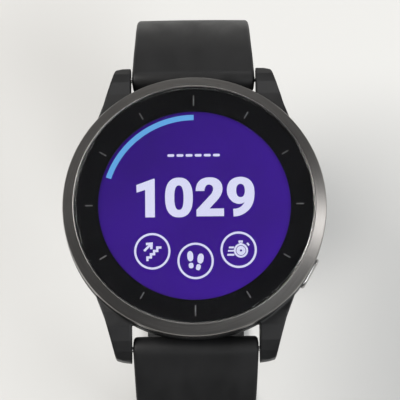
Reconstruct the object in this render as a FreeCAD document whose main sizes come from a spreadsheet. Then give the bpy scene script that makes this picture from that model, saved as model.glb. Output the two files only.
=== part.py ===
# GPS running watch, round head with four lugs and a two-piece silicone strap.
#
# Row frame: +Z up out of the cover lens, +Y towards 12 o'clock, +X towards 3 o'clock (the button side).
# The origin lies under the head, on the surface that the strap's tail rests on, on the axis of the round head.
# The head is drawn with its own datum at the lowest point of the optical sensor window and is lifted by head_z.
#
# The strap is unbuckled. The short strap with the buckle hangs from the 12 o'clock lugs, curls inwards and ends
# above the long strap, which comes down from the 6 o'clock lugs and lies flat under the head.
import FreeCAD
import Part
import Sketcher
import math
import os

V = FreeCAD.Vector
doc = FreeCAD.newDocument("gps_running_watch")
sheet = doc.addObject("Spreadsheet::Sheet", "Params")


class Dim:
    """A length with its value and the text of the expression that gives it from the sheet."""

    def __init__(self, value, text, bound=True):
        self.v, self.text, self.bound = float(value), text, bound

    def __add__(self, o):
        o = as_dim(o)
        return Dim(self.v + o.v, "(%s + %s)" % (self.text, o.text), self.bound or o.bound)

    def __radd__(self, o):
        return as_dim(o) + self

    def __sub__(self, o):
        o = as_dim(o)
        return Dim(self.v - o.v, "(%s - %s)" % (self.text, o.text), self.bound or o.bound)

    def __rsub__(self, o):
        return as_dim(o) - self

    def __mul__(self, o):
        o = as_dim(o)
        return Dim(self.v * o.v, "(%s * %s)" % (self.text, o.text), self.bound or o.bound)

    def __rmul__(self, o):
        return as_dim(o) * self

    def __truediv__(self, o):
        o = as_dim(o)
        return Dim(self.v / o.v, "(%s / %s)" % (self.text, o.text), self.bound or o.bound)

    def __neg__(self):
        return as_dim(0) - self


def as_dim(x):
    if isinstance(x, Dim):
        return x
    return Dim(x, "%.6g" % x if x >= 0 else "(0 - %.6g)" % -x, False)


rows = [0]


def dim(alias, value, note=""):
    rows[0] += 1
    n = rows[0]
    sheet.set("A%d" % n, alias + " " + note)
    sheet.set("B%d" % n, "%.6g" % value)
    sheet.setAlias("B%d" % n, alias)
    return Dim(value, "Params." + alias)


# ---------------------------------------------------------------- driving dimensions, mm
head_z = dim("head_z", 74.0, "sensor window apex above the resting surface")
case_r = dim("case_r", 22.72, "polymer case")
case_in = dim("case_in", 19.4, "cavity")
case_bot = dim("case_bot", 3.6, "joint of case and rear cover")
case_sh = dim("case_sh", 9.42, "shoulder under the bezel")
case_top = dim("case_top", 10.8, "collar top")
bez_in = dim("bez_in", 20.52, "lens pocket")
bez_out = dim("bez_out", 22.68, "bezel side")
bez_top = dim("bez_top", 12.8, "overall head thickness")
bez_bot = dim("bez_bot", 9.5, "bezel skirt")
ledge_in = dim("ledge_in", 19.5, "lens ledge")
ledge_z = dim("ledge_z", 11.2, "lens ledge top")
lens_r = dim("lens_r", 20.4, "cover lens")
lens_top = dim("lens_top", 12.7, "cover lens top")
lens_bot = dim("lens_bot", 11.45, "cover lens underside")
act_r = dim("act_r", 16.5, "display active radius, 33 mm across")
disp_r = dim("disp_r", 17.6, "display module")
disp_bot = dim("disp_bot", 9.35, "display module underside")
disp_top = dim("disp_top", 10.75, "display module top")
pcb_r = dim("pcb_r", 18.5, "main board")
pcb_bot = dim("pcb_bot", 8.1, "main board underside")
pcb_t = dim("pcb_t", 0.7, "main board")
bat_l = dim("bat_l", 25.0, "battery")
bat_w = dim("bat_w", 19.6, "battery")
bat_z = dim("bat_z", 3.8, "battery underside")
bat_h = dim("bat_h", 3.4, "battery")
bat_x = dim("bat_x", -1.2, "battery centre")
tray_r = dim("tray_r", 18.85, "battery tray")
tray_bot = dim("tray_bot", 3.7, "battery tray")
tray_top = dim("tray_top", 6.9, "battery tray")
cov_r = dim("cov_r", 21.3, "rear cover rim")
cov_bot = dim("cov_bot", 1.1, "rear cover flat")
cov_floor = dim("cov_floor", 2.3, "rear cover inner floor")
cov_in = dim("cov_in", 16.4, "rear cover dish")
boss_pr = dim("boss_pr", 18.3, "screw circle radius")
boss_r = dim("boss_r", 2.0, "screw boss")
screw_r = dim("screw_r", 0.7, "screw shank")
win_r = dim("win_r", 9.1, "sensor window")
sock_y = dim("sock_y", -13.1, "charging socket centre")
btn_a = dim("btn_a", 29.8, "button angle from 3 o'clock")
btn_z = dim("btn_z", 6.7, "button height")
btn_l = dim("btn_l", 5.8, "button cap length")
btn_w = dim("btn_w", 2.7, "button cap width")
btn_out = dim("btn_out", 23.1, "button cap face")
btn_in = dim("btn_in", 21.9, "button cap back")
stem_r = dim("stem_r", 0.9, "button stem")
lug_in = dim("lug_in", 11.0, "half the gap between lugs")
lug_tip = dim("lug_tip", 26.2, "lug tip")
piv_y = dim("piv_y", 23.95, "spring bar axis from the head axis")
piv_z = dim("piv_z", 4.8, "spring bar axis")
bar_r = dim("bar_r", 0.75, "spring bar tube")
bar_bore = dim("bar_bore", 0.5, "spring bar tube bore")
tip_r = dim("tip_r", 0.5, "spring bar tip")
lughole_r = dim("lughole_r", 0.55, "lug hole")
strap_w = dim("strap_w", 21.5, "strap at the lugs")
strap_wm = dim("strap_wm", 20.7, "strap where the fast taper ends")
strap_w2 = dim("strap_w2", 20.0, "strap beyond the taper")
strap_up_t = dim("strap_up_t", 2.6, "short strap thickness")
strap_lo_t = dim("strap_lo_t", 2.4, "long strap thickness")
barrel_r = dim("barrel_r", 2.3, "strap end barrel")
hole_w = dim("hole_w", 2.2, "strap hole")
hole_l = dim("hole_l", 3.4, "strap hole")
hole_p = dim("hole_p", 6.0, "strap hole pitch")
bb_r = dim("bb_r", 0.6, "buckle bar")
bk_reach = dim("bk_reach", 8.2, "buckle bar to crossbar")
bk_rise = dim("bk_rise", 1.9, "crossbar above the bar")
bk_in = dim("bk_in", 10.3, "buckle inner half width")
bk_out = dim("bk_out", 11.7, "buckle outer half width")
keep_l = dim("keep_l", 6.0, "keeper length")
keep_t = dim("keep_t", 1.3, "keeper wall")
doc.recompute()


# ---------------------------------------------------------------- helpers
def put(obj, prop, d):
    """Sets a size, bound to the sheet where it comes from there."""
    d = as_dim(d)
    if d.bound:
        obj.setExpression(prop, d.text)
    else:
        tgt, names = obj, prop.split(".")
        if len(names) == 1:
            setattr(obj, prop, d.v)
        else:
            obj.setExpression(prop, d.text)
    return obj


parts = []


def node(obj, label, lift=True):
    """Names a finished sub-part and lifts it from the head's datum to the row frame."""
    if obj.TypeId in ("Part::Cylinder", "Part::Box", "Part::Torus"):
        obj = group(obj)
    obj.Label = label
    if lift:
        obj.setExpression("Placement.Base.z", head_z.text)
    parts.append(obj)
    return obj


count = [0]


def uid(base):
    count[0] += 1
    return "%s_%03d" % (base, count[0])


def box(x0, x1, y0, y1, z0, z1):
    b = doc.addObject("Part::Box", uid("Box"))
    x0, x1, y0, y1, z0, z1 = map(as_dim, (x0, x1, y0, y1, z0, z1))
    put(b, "Length", x1 - x0)
    put(b, "Width", y1 - y0)
    put(b, "Height", z1 - z0)
    for axis, d in zip("xyz", (x0, y0, z0)):
        put(b, "Placement.Base." + axis, d)
    return b


def cyl(r, z0, z1, x=0.0, y=0.0, angle=360.0):
    c = doc.addObject("Part::Cylinder", uid("Cyl"))
    z0, z1 = as_dim(z0), as_dim(z1)
    put(c, "Radius", r)
    put(c, "Height", z1 - z0)
    c.Angle = angle
    put(c, "Placement.Base.x", x)
    put(c, "Placement.Base.y", y)
    put(c, "Placement.Base.z", z0)
    return c


def cyl_x(r, x0, x1, y=0.0, z=0.0):
    """A cylinder along +X."""
    c = doc.addObject("Part::Cylinder", uid("CylX"))
    x0, x1 = as_dim(x0), as_dim(x1)
    put(c, "Radius", r)
    put(c, "Height", x1 - x0)
    c.Placement = FreeCAD.Placement(V(0, 0, 0), FreeCAD.Rotation(V(0, 1, 0), 90))
    put(c, "Placement.Base.x", x0)
    put(c, "Placement.Base.y", y)
    put(c, "Placement.Base.z", z)
    return c


def fuse(*objs):
    f = doc.addObject("Part::MultiFuse", uid("Fuse"))
    f.Shapes = list(objs)
    f.Refine = True
    return f


def cut(base, *tools):
    c = doc.addObject("Part::Cut", uid("Cut"))
    c.Base = base
    c.Tool = tools[0] if len(tools) == 1 else fuse(*tools)
    c.Refine = True
    return c


def common(a, b):
    c = doc.addObject("Part::Common", uid("Common"))
    c.Base, c.Tool = a, b
    return c


def group(*objs):
    g = doc.addObject("Part::Compound", uid("Group"))
    g.Links = list(objs)
    return g


def turned(obj, angle):
    """The same object turned about the head's axis."""
    g = doc.addObject("Part::Compound", uid("Turn"))
    g.Links = [obj]
    g.Placement = FreeCAD.Placement(V(0, 0, 0), FreeCAD.Rotation(V(0, 0, 1), 1))
    g.setExpression("Placement.Rotation.Angle", as_dim(angle).text)
    return g


def polygon(body, plane, points, offset=None):
    """A closed sketch of straight lines in a body, every corner dimensioned from the sketch origin."""
    sk = body.newObject("Sketcher::SketchObject", uid("Sketch"))
    support = [f for f in body.Origin.OriginFeatures if f.Role == plane][0]
    sk.AttachmentSupport = [(support, "")]
    sk.MapMode = "FlatFace"
    pts = [(as_dim(a), as_dim(b)) for a, b in points]
    n = len(pts)
    for i in range(n):
        a, b = pts[i], pts[(i + 1) % n]
        sk.addGeometry(Part.LineSegment(V(a[0].v, a[1].v, 0), V(b[0].v, b[1].v, 0)), False)
    for i in range(n):
        sk.addConstraint(Sketcher.Constraint("Coincident", i, 2, (i + 1) % n, 1))
    for i, (a, b) in enumerate(pts):
        for kind, d, axis in (("DistanceX", a, -2), ("DistanceY", b, -1)):
            if abs(d.v) < 1e-9:
                sk.addConstraint(Sketcher.Constraint("PointOnObject", i, 1, axis))
                continue
            k = sk.addConstraint(Sketcher.Constraint(kind, -1, 1, i, 1, d.v))
            if d.bound:
                sk.setExpression("Constraints[%d]" % k, d.text)
    if offset is not None:
        put(sk, "AttachmentOffset.Base.z", offset)
    return sk


def revolved(points, angle=360.0):
    """A PartDesign body turned about the head's axis from (radius, height) corners."""
    body = doc.addObject("PartDesign::Body", uid("Body"))
    sk = polygon(body, "XZ_Plane", points)
    rev = body.newObject("PartDesign::Revolution", uid("Revolution"))
    rev.Profile = sk
    rev.ReferenceAxis = (sk, ["V_Axis"])
    rev.Angle = angle
    body.Tip = rev
    return body


def padded(plane, points, length, offset=0.0, both=False):
    body = doc.addObject("PartDesign::Body", uid("Body"))
    sk = polygon(body, plane, points, offset)
    pad = body.newObject("PartDesign::Pad", uid("Pad"))
    pad.Profile = sk
    put(pad, "Length", length)
    if both:
        pad.Midplane = True
    body.Tip = pad
    return body


def tangent_slot(length, width, x0, x1, z):
    """A stadium prism along X: length across Y, width across Z, centred at height z."""
    length, width, z = as_dim(length), as_dim(width), as_dim(z)
    half = (length - width) / 2
    return fuse(
        box(x0, x1, -half, half, z - width / 2, z + width / 2),
        cyl_x(width / 2, x0, x1, half, z),
        cyl_x(width / 2, x0, x1, -half, z),
    )


def pill(length, width, z0, z1, y=0.0):
    """A stadium prism along Z, long across X."""
    length, width, y = as_dim(length), as_dim(width), as_dim(y)
    half = (length - width) / 2
    return fuse(
        box(-half, half, y - width / 2, y + width / 2, z0, z1),
        cyl(width / 2, z0, z1, half, y),
        cyl(width / 2, z0, z1, -half, y),
    )


# ---------------------------------------------------------------- cover lens, bezel and display
node(
    revolved([(0, lens_bot), (lens_r, lens_bot), (lens_r, lens_top - 0.25), (lens_r - 0.25, lens_top), (0, lens_top)]),
    "cover_lens",
)
node(
    revolved([(ledge_in + 0.05, ledge_z), (lens_r + 0.06, ledge_z), (lens_r + 0.06, lens_bot), (ledge_in + 0.05, lens_bot)]),
    "lens_gasket",
)
node(
    revolved(
        [
            (ledge_in, ledge_z - 0.35),
            (ledge_in, ledge_z),
            (bez_in, ledge_z),
            (bez_in, bez_top - 0.18),
            (bez_in + 0.12, bez_top),
            (bez_in + 0.28, bez_top),
            (bez_out - 0.1, bez_top - 1.35),
            (bez_out, bez_top - 1.6),
            (bez_out, bez_bot + 0.2),
            (bez_out - 0.2, bez_bot),
            (case_in + 1.55, bez_bot),
            (case_in + 1.55, ledge_z - 0.35),
        ]
    ),
    "bezel_ring",
)
node(
    revolved([(act_r + 0.05, ledge_z + 0.02), (case_in - 0.1, ledge_z + 0.02), (case_in - 0.1, lens_bot - 0.03), (act_r + 0.05, lens_bot - 0.03)]),
    "dial_mask",
)
node(revolved([(0, disp_bot), (disp_r, disp_bot), (disp_r, disp_top), (0, disp_top)]), "display_module")
node(
    revolved(
        [
            (disp_r - 0.8, pcb_bot + pcb_t + 0.1),
            (case_in - 0.1, pcb_bot + pcb_t + 0.1),
            (case_in - 0.1, ledge_z),
            (disp_r + 0.15, ledge_z),
            (disp_r + 0.15, disp_bot),
            (disp_r - 0.8, disp_bot),
        ]
    ),
    "display_holder",
)
# display flex: a C-shaped fold between the module's underside and the main board
pcb_top = pcb_bot + pcb_t
node(
    padded(
        "XZ_Plane",
        [
            (8.0, disp_bot - 0.15),
            (15.0, disp_bot - 0.15),
            (15.0, pcb_top + 0.15),
            (10.0, pcb_top + 0.15),
            (10.0, pcb_top),
            (15.15, pcb_top),
            (15.15, disp_bot),
            (8.0, disp_bot),
        ],
        8.0,
        -4.0,
    ),
    "display_flex",
)

# ---------------------------------------------------------------- mid case with lugs
shell = revolved(
    [
        (case_in, case_bot),
        (case_r - 1.05, case_bot),
        (case_r - 0.35, case_bot + 1.3),
        (case_r, case_bot + 2.6),
        (case_r, case_sh - 0.25),
        (case_r - 0.2, case_sh),
        (case_in + 1.5, case_sh),
        (case_in + 1.5, case_top),
        (case_in, case_top),
    ]
)


def lug():
    plan = padded(
        "XY_Plane",
        [
            (lug_in, 17.5),
            (lug_in, lug_tip),
            (lug_in + 1.7, lug_tip - 0.3),
            (lug_in + 2.65, lug_tip - 0.6),
            (lug_in + 2.92, lug_tip - 1.1),
            (lug_in + 3.8, 21.8),
            (lug_in + 4.72, 18.5),
            (17.75, 13.2),
            (16.0, 12.4),
        ],
        12.0,
    )
    side = padded(
        "YZ_Plane",
        [
            (11.0, case_bot + 0.02),
            (18.6, case_bot + 0.02),
            (19.5, 2.8),
            (21.5, 2.35),
            (24.6, 2.2),
            (26.0, 2.5),
            (lug_tip + 0.1, 3.3),
            (lug_tip + 0.05, 4.3),
            (25.9, 5.4),
            (24.6, 6.75),
            (22.8, 7.95),
            (20.4, 8.85),
            (18.0, 9.17),
            (11.0, 9.17),
        ],
        30.0,
        0.0,
    )
    return common(plan, side)


def mirrored(obj, normal):
    m = doc.addObject("Part::Mirroring", uid("Mirror"))
    m.Source = obj
    m.Normal = V(*normal)
    return m


lug_ne = lug()
lug_nw = mirrored(lug_ne, (1, 0, 0))
lug_se = mirrored(lug_ne, (0, 1, 0))
lug_sw = mirrored(lug_nw, (0, 1, 0))


def at45(make):
    return [turned(make(), a) for a in (45.0, 135.0, 225.0, 315.0)]


bosses = at45(lambda: cyl(boss_r, case_bot, pcb_bot - 0.05, boss_pr, 0.0))


def button_cuts(angle):
    pocket = tangent_slot(btn_l + 0.3, btn_w + 0.3, 21.35, 25.0, btn_z)
    bore = cyl_x(stem_r + 0.1, 18.0, 21.5, 0.0, btn_z)
    gland = cyl_x(1.5, 19.9, 20.9, 0.0, btn_z)
    return [turned(o, angle) for o in (pocket, bore, gland)]


case_solid = fuse(shell, lug_ne, lug_nw, lug_se, lug_sw, *bosses)
case_tools = button_cuts(btn_a) + button_cuts(-btn_a)
case_tools += at45(lambda: cyl(screw_r + 0.03, 3.0, 6.8, boss_pr, 0.0))
for s in (1, -1):
    case_tools.append(cyl_x(lughole_r, -(lug_in + 1.45), lug_in + 1.45, s * piv_y, piv_z))
    case_tools.append(cyl_x(barrel_r + 0.2, -lug_in, lug_in, s * piv_y, piv_z))
case_tools.append(cyl_x(0.45, -24.0, -19.0, 0.0, 5.2))  # pressure port at 9 o'clock
node(cut(case_solid, *case_tools), "mid_case")

# ---------------------------------------------------------------- electronics
board = cyl(pcb_r, pcb_bot, pcb_top)
slot_a = box(16.2, 20.0, -2.6, 2.6, pcb_bot - 1, pcb_top + 1)
node(cut(board, slot_a, cyl(1.1, pcb_bot - 1, pcb_top + 1, -17.9, 3.0)), "main_board")
node(
    group(
        box(-11.5, -1.0, -8.6, 1.2, pcb_bot - 0.75, pcb_bot),
        box(1.0, 9.8, -6.0, 4.4, pcb_bot - 0.75, pcb_bot),
    ),
    "shield_cans",
)
node(
    group(
        box(-9.0, -3.0, -3.0, 3.0, pcb_top, pcb_top + 0.45),
        box(-1.0, 3.4, 3.2, 7.6, pcb_top, pcb_top + 0.4),
        box(0.6, 5.0, -8.4, -4.4, pcb_top, pcb_top + 0.4),
    ),
    "board_chips",
)
cell = box(bat_x - bat_l / 2, bat_x + bat_l / 2, -bat_w / 2, bat_w / 2, bat_z, bat_z + bat_h)
cell_f = doc.addObject("Part::Fillet", "BatteryFillet")
cell_f.Base = cell
doc.recompute()
cell_f.Edges = [
    (i + 1, 1.2, 1.2)
    for i, e in enumerate(cell.Shape.Edges)
    if abs(e.Vertexes[0].X - e.Vertexes[1].X) > 20
]
node(cell_f, "battery")
tray = cut(
    cyl(tray_r, tray_bot, tray_top),
    box(bat_x - bat_l / 2 - 0.2, bat_x + bat_l / 2 + 0.2, -bat_w / 2 - 0.2, bat_w / 2 + 0.2, 3.0, 8.0),
    cyl(3.95, 3.0, 8.0, 3.5, 14.2),
    turned(box(15.6, 20.0, -2.7, 2.7, 3.0, 8.0), btn_a),
    turned(box(15.6, 20.0, -2.7, 2.7, 3.0, 8.0), -btn_a),
    box(-15.1, -13.8, -2.3, 2.3, 3.0, 8.0),
    *at45(lambda: cyl(boss_r + 0.15, 3.0, 8.0, boss_pr, 0.0))
)
node(tray, "battery_tray")


def antenna(start):
    ring = cut(cyl(19.3, 4.3, 7.6, angle=70.0), cyl(18.95, 4.0, 8.0))
    return turned(ring, start)


node(antenna(55.0), "gps_antenna")
node(antenna(235.0), "wireless_antenna")
node(cut(cyl_x(1.1, -19.35, -18.95, 0.0, 5.2), cyl_x(0.4, -20.0, -19.15, 0.0, 5.2)), "pressure_vent")

# vibration motor: a coin can with a fixed shaft and a half-disc rotor
can = cut(cyl(3.8, 3.9, 6.5, 3.5, 14.2), cyl(3.55, 4.1, 6.3, 3.5, 14.2))
node(fuse(can, cyl(0.4, 4.0, 6.4, 3.5, 14.2)), "vibration_motor")
rotor = cut(cyl(3.3, 4.4, 6.0, 3.5, 14.2, 180.0), cyl(0.46, 4.0, 6.4, 3.5, 14.2))
hub = cut(cyl(0.95, 4.4, 6.0, 3.5, 14.2), cyl(0.46, 4.0, 6.4, 3.5, 14.2))
node(fuse(rotor, hub), "vibration_rotor")

# ---------------------------------------------------------------- rear cover, seal, screws
dish = revolved(
    [
        (win_r + 0.1, cov_bot),
        (16.8, cov_bot),
        (20.6, cov_bot + 1.6),
        (cov_r, case_bot - 0.45),
        (cov_r, case_bot),
        (20.55, case_bot),
        (20.55, case_bot - 0.55),
        (19.9, case_bot - 0.55),
        (19.9, case_bot),
        (cov_in, case_bot),
        (cov_in, cov_floor),
        (win_r + 1.15, cov_floor),
        (win_r + 1.15, cov_floor - 0.65),
        (win_r + 0.1, cov_floor - 0.65),
    ]
)
cover_tools = at45(lambda: cyl(screw_r + 0.1, 0.5, 4.0, boss_pr, 0.0))
cover_tools += at45(lambda: cyl(1.35, 0.5, 2.7, boss_pr, 0.0))
cover_tools.append(pill(9.1, 4.7, 0.5, 3.2, sock_y))
node(cut(dish, *cover_tools), "rear_cover")
seal = doc.addObject("Part::Torus", "RearSeal")
seal.Radius1, seal.Radius2 = 20.225, 0.26
seal.setExpression("Placement.Base.z", "Params.case_bot - 0.27")
node(seal, "rear_seal")


def screw():
    head = cyl(1.2, 1.9, 2.7, boss_pr, 0.0)
    shank = cyl(screw_r, 2.6, 6.4, boss_pr, 0.0)
    hexagon = doc.addObject("Part::Prism", uid("Hex"))
    hexagon.Polygon, hexagon.Circumradius, hexagon.Height = 6, 0.62, 1.0
    put(hexagon, "Placement.Base.x", boss_pr)
    put(hexagon, "Placement.Base.z", 1.4)
    return cut(fuse(head, shank), hexagon)


node(group(*at45(screw)), "case_screws")

# ---------------------------------------------------------------- optical sensor
node(
    revolved(
        [
            (0, 0),
            (6.0, 0),
            (win_r - 0.6, 0.42),
            (win_r, 0.85),
            (win_r, cov_floor - 0.62),
            (win_r + 1.05, cov_floor - 0.62),
            (win_r + 1.05, cov_floor - 0.02),
            (8.2, cov_floor - 0.02),
            (8.2, 1.2),
            (0, 1.2),
        ]
    ),
    "sensor_window",
)
node(
    cut(
        cyl(8.1, 1.25, 2.3),
        box(-2.2, 2.2, -1.5, 1.5, 1.0, 3.0),
        *[box(x - 1.3, x + 1.3, y - 1.3, y + 1.3, 1.0, 3.0) for x, y in ((5.2, 0), (-5.2, 0), (0, 5.2), (0, -5.2))]
    ),
    "sensor_baffle",
)
node(cyl(9.7, 2.35, 2.95), "sensor_board")
node(group(*[box(x - 0.5, x + 0.5, -0.5, 0.5, 1.7, 2.35) for x in (-1.4, 0.0, 1.4)]), "sensor_leds")
node(
    group(*[box(x - 1.1, x + 1.1, y - 1.1, y + 1.1, 1.85, 2.35) for x, y in ((5.2, 0), (-5.2, 0), (0, 5.2), (0, -5.2))]),
    "sensor_photodiodes",
)
node(
    padded(
        "XZ_Plane",
        [(-6.0, 2.95), (-14.75, 2.95), (-14.75, pcb_bot), (-14.6, pcb_bot), (-14.6, 3.1), (-6.0, 3.1)],
        4.0,
        -2.0,
    ),
    "sensor_flex",
)

# ---------------------------------------------------------------- charging socket
socket_block = fuse(pill(9.0, 4.6, cov_bot, 3.0, sock_y), pill(10.2, 5.6, cov_floor, 3.0, sock_y))
contact_x = (-2.55, -0.85, 0.85, 2.55)
node(
    cut(
        socket_block,
        pill(7.6, 3.4, 0.5, 2.1, sock_y),
        *[cyl(0.47, 1.5, 3.5, x, sock_y) for x in contact_x]
    ),
    "charge_socket",
)
node(group(*[cyl(0.45, 1.75, 3.5, x, sock_y) for x in contact_x]), "charge_contacts")


# ---------------------------------------------------------------- buttons
def button(prefix, angle):
    cap = tangent_slot(btn_l, btn_w, btn_in, btn_out, btn_z)
    rim = doc.addObject("Part::Chamfer", uid("CapChamfer"))
    rim.Base = cap
    doc.recompute()
    rim.Edges = [
        (i + 1, 0.3, 0.3)
        for i, e in enumerate(cap.Shape.Edges)
        if all(abs(v.X - btn_out.v) < 1e-6 for v in e.Vertexes)
    ]
    stem = cyl_x(stem_r, 18.35, btn_in + 0.1, 0.0, btn_z)
    groove = cut(cyl_x(1.2, 18.85, 19.2, 0.0, btn_z), cyl_x(0.6, 18.0, 20.0, 0.0, btn_z))
    node(turned(cut(fuse(rim, stem), groove), angle), prefix + "_button")
    ring = doc.addObject("Part::Torus", uid("ORing"))
    ring.Radius1, ring.Radius2 = 1.19, 0.26
    ring.Placement = FreeCAD.Placement(V(0, 0, 0), FreeCAD.Rotation(V(0, 1, 0), 90))
    put(ring, "Placement.Base.x", 20.4)
    put(ring, "Placement.Base.z", btn_z)
    node(turned(ring, angle), prefix + "_button_seal")
    clip = cut(cyl_x(1.5, 18.9, 19.15, 0.0, btn_z), cyl_x(0.64, 18.0, 20.0, 0.0, btn_z), box(18.0, 20.0, -0.5, 0.5, btn_z - 2, btn_z))
    node(turned(clip, angle), prefix + "_button_clip")
    node(turned(cyl_x(0.6, 17.2, 18.35, 0.0, btn_z), angle), prefix + "_switch_plunger")
    switch = cut(box(15.9, 17.6, -2.2, 2.2, btn_z - 1.1, pcb_bot), cyl_x(0.7, 16.4, 18.0, 0.0, btn_z))
    node(turned(switch, angle), prefix + "_switch")


button("upper", btn_a)
button("lower", -btn_a)


# ---------------------------------------------------------------- straps
def num(d):
    """A size read back from the sheet."""
    return float(sheet.get(d.text.split(".")[1]))


def heading(a):
    """Unit vector along the strap and unit vector out of its outer face, for a direction a degrees below +Y."""
    r = math.radians(a)
    return (math.cos(r), -math.sin(r)), (math.sin(r), math.cos(r))


def trace(start, pieces):
    """Follows straight runs ("S", length) and tangent arcs ("A", radius, end angle) from start = (y, z, angle)."""
    y, z, a = start
    out, s = [], 0.0
    for p in pieces:
        t, n = heading(a)
        if p[0] == "S":
            out.append(("S", (y, z), a, p[1], s))
            y, z, s = y + t[0] * p[1], z + t[1] * p[1], s + p[1]
        else:
            radius, end = p[1], p[2]
            c = (y - radius * n[0], z - radius * n[1])
            length = radius * math.radians(end - a)
            out.append(("A", c, a, end, radius, s, length))
            _, n2 = heading(end)
            y, z, a, s = c[0] + radius * n2[0], c[1] + radius * n2[1], end, s + length
    return out, (y, z, a, s)


def at(path, s):
    """Centre point and direction angle at a distance s along the strap."""
    for seg in path:
        if seg[0] == "S" and seg[4] - 1e-9 <= s <= seg[4] + seg[3] + 1e-9:
            t, _ = heading(seg[2])
            d = s - seg[4]
            return (seg[1][0] + t[0] * d, seg[1][1] + t[1] * d), seg[2]
        if seg[0] == "A" and seg[5] - 1e-9 <= s <= seg[5] + seg[6] + 1e-9:
            a = seg[2] + math.degrees((s - seg[5]) / seg[4])
            _, n = heading(a)
            return (seg[1][0] + seg[4] * n[0], seg[1][1] + seg[4] * n[1]), a
    raise ValueError("no point at %g" % s)


def band(path, half, side):
    """The strap's bent plate as a body: one sketch of its side outline, padded across X. half(s) is half the thickness."""
    body = doc.addObject("PartDesign::Body", uid("Strap"))
    sk = body.newObject("Sketcher::SketchObject", uid("StrapSketch"))
    sk.AttachmentSupport = [([f for f in body.Origin.OriginFeatures if f.Role == "YZ_Plane"][0], "")]
    sk.MapMode = "FlatFace"
    rails = {1: [], -1: []}
    for seg in path:
        s0, length = (seg[4], seg[3]) if seg[0] == "S" else (seg[5], seg[6])
        for k in (1, -1):
            pts = []
            for f in (0.0, 0.5, 1.0):
                (y, z), a = at([seg], s0 + f * length)
                _, n = heading(a)
                h = k * half(s0 + f * length)
                pts.append(V(side * (y + h * n[0]), z + h * n[1], 0))
            rails[k].append(pts)
    curves = []
    for pts in rails[1]:
        curves.append(pts)
    curves.append([rails[1][-1][2], None, rails[-1][-1][2]])
    for pts in reversed(rails[-1]):
        curves.append([pts[2], pts[1], pts[0]])
    curves.append([rails[-1][0][0], None, rails[1][0][0]])
    for p0, pm, p1 in curves:
        straight = pm is None or (pm - (p0 + p1) * 0.5).Length < 1e-5
        g = Part.LineSegment(p0, p1) if straight else Part.Arc(p0, pm, p1)
        k = sk.addGeometry(g, False)
        sk.addConstraint(Sketcher.Constraint("Block", k))
    pad = body.newObject("PartDesign::Pad", uid("StrapPad"))
    pad.Profile = sk
    put(pad, "Length", strap_w)
    pad.Midplane = True
    body.Tip = pad
    return body


def placed(obj, y, z, a):
    """The same object turned by a degrees about X and moved to (0, y, z)."""
    g = doc.addObject("Part::Compound", uid("Placed"))
    g.Links = [obj]
    g.Placement = FreeCAD.Placement(V(0, y, z), FreeCAD.Rotation(V(1, 0, 0), a))
    return g


def half_thickness(end):
    def half(s):
        for s0, t0, s1, t1 in ((0.0, 4.4, 8.0, 3.8), (8.0, 3.8, 36.0, end + 0.2), (36.0, end + 0.2, 60.0, end)):
            if s <= s1:
                return (t0 + (t1 - t0) * (s - s0) / (s1 - s0)) / 2
        return end / 2

    return half


PY, PZ = num(piv_y), num(piv_z)
up_t, lo_t = num(strap_up_t), num(strap_lo_t)
up_path, up_end = trace((PY, PZ, 30.0), [("S", 3.0), ("A", 25.2, 100.0), ("A", 38.0, 150.0), ("S", 7.0)])
# the long strap's straight run is as long as it takes to lay the tail on the resting surface
lead = [("S", 3.0), ("A", 25.2, 94.0), ("A", 150.0, 106.0)]
_, part_way = trace((PY, PZ, 30.0), lead)
turn_drop = 16.0 * (math.cos(math.radians(106.0)) - math.cos(math.pi))
run = (part_way[1] - turn_drop + num(head_z) - lo_t / 2) / math.sin(math.radians(106.0))
lo_path, lo_end = trace((PY, PZ, 30.0), lead + [("S", run), ("A", 16.0, 180.0), ("S", 27.5)])
print("short strap length %.2f, end at y %.2f z %.2f" % (up_end[3], up_end[0], up_end[1]))
print("long strap length %.2f, end at y %.2f z %.2f" % (lo_end[3], -lo_end[0], lo_end[1]))
print("buckle bar", (up_end[0], up_end[1] + num(head_z)), "keeper arc centre", (up_path[2][1][0], up_path[2][1][1] + num(head_z)), "long strap flat from y %.2f" % -lo_path[5][1][0])


def width_taper():
    """The strap's front outline: full width at the lugs, narrowing fast and then slowly below."""
    return padded(
        "XZ_Plane",
        [
            (strap_w / 2, 20.0),
            (strap_w / 2, 7.0),
            (strap_wm / 2, 1.0),
            (strap_w2 / 2, -18.0),
            (strap_w2 / 2, -90.0),
            (-strap_w2 / 2, -90.0),
            (-strap_w2 / 2, -18.0),
            (-strap_wm / 2, 1.0),
            (-strap_w / 2, 7.0),
            (-strap_w / 2, 20.0),
        ],
        140.0,
        -70.0,
    )


def strap_root(plate, side):
    """The barrel round the spring bar, and the tools for its bore and for the release lever's notch."""
    y = side * piv_y
    body = fuse(plate, cyl_x(barrel_r, -strap_w / 2, strap_w / 2, y, piv_z))
    tools = [
        cyl_x(bar_r + 0.05, -20.0, 20.0, y, piv_z),
        box(5.3, 8.9, y - 0.85, y + 0.85, piv_z - 4.0, piv_z),
    ]
    return common(body, width_taper()), tools


ey, ez, ea, es = up_end
up, up_tools = strap_root(fuse(band(up_path, half_thickness(up_t), 1), placed(cyl_x(strap_up_t / 2, -strap_w / 2, strap_w / 2), ey, ez, 0)), 1)
up_tools.append(placed(cyl_x(bb_r + 0.04, -20.0, 20.0), ey, ez, 0))
up_tools.append(placed(box(-1.5, 1.5, -2.6, 3.4, -4.0, 4.0), ey, ez, -ea))
node(cut(up, *up_tools), "upper_strap")

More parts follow.
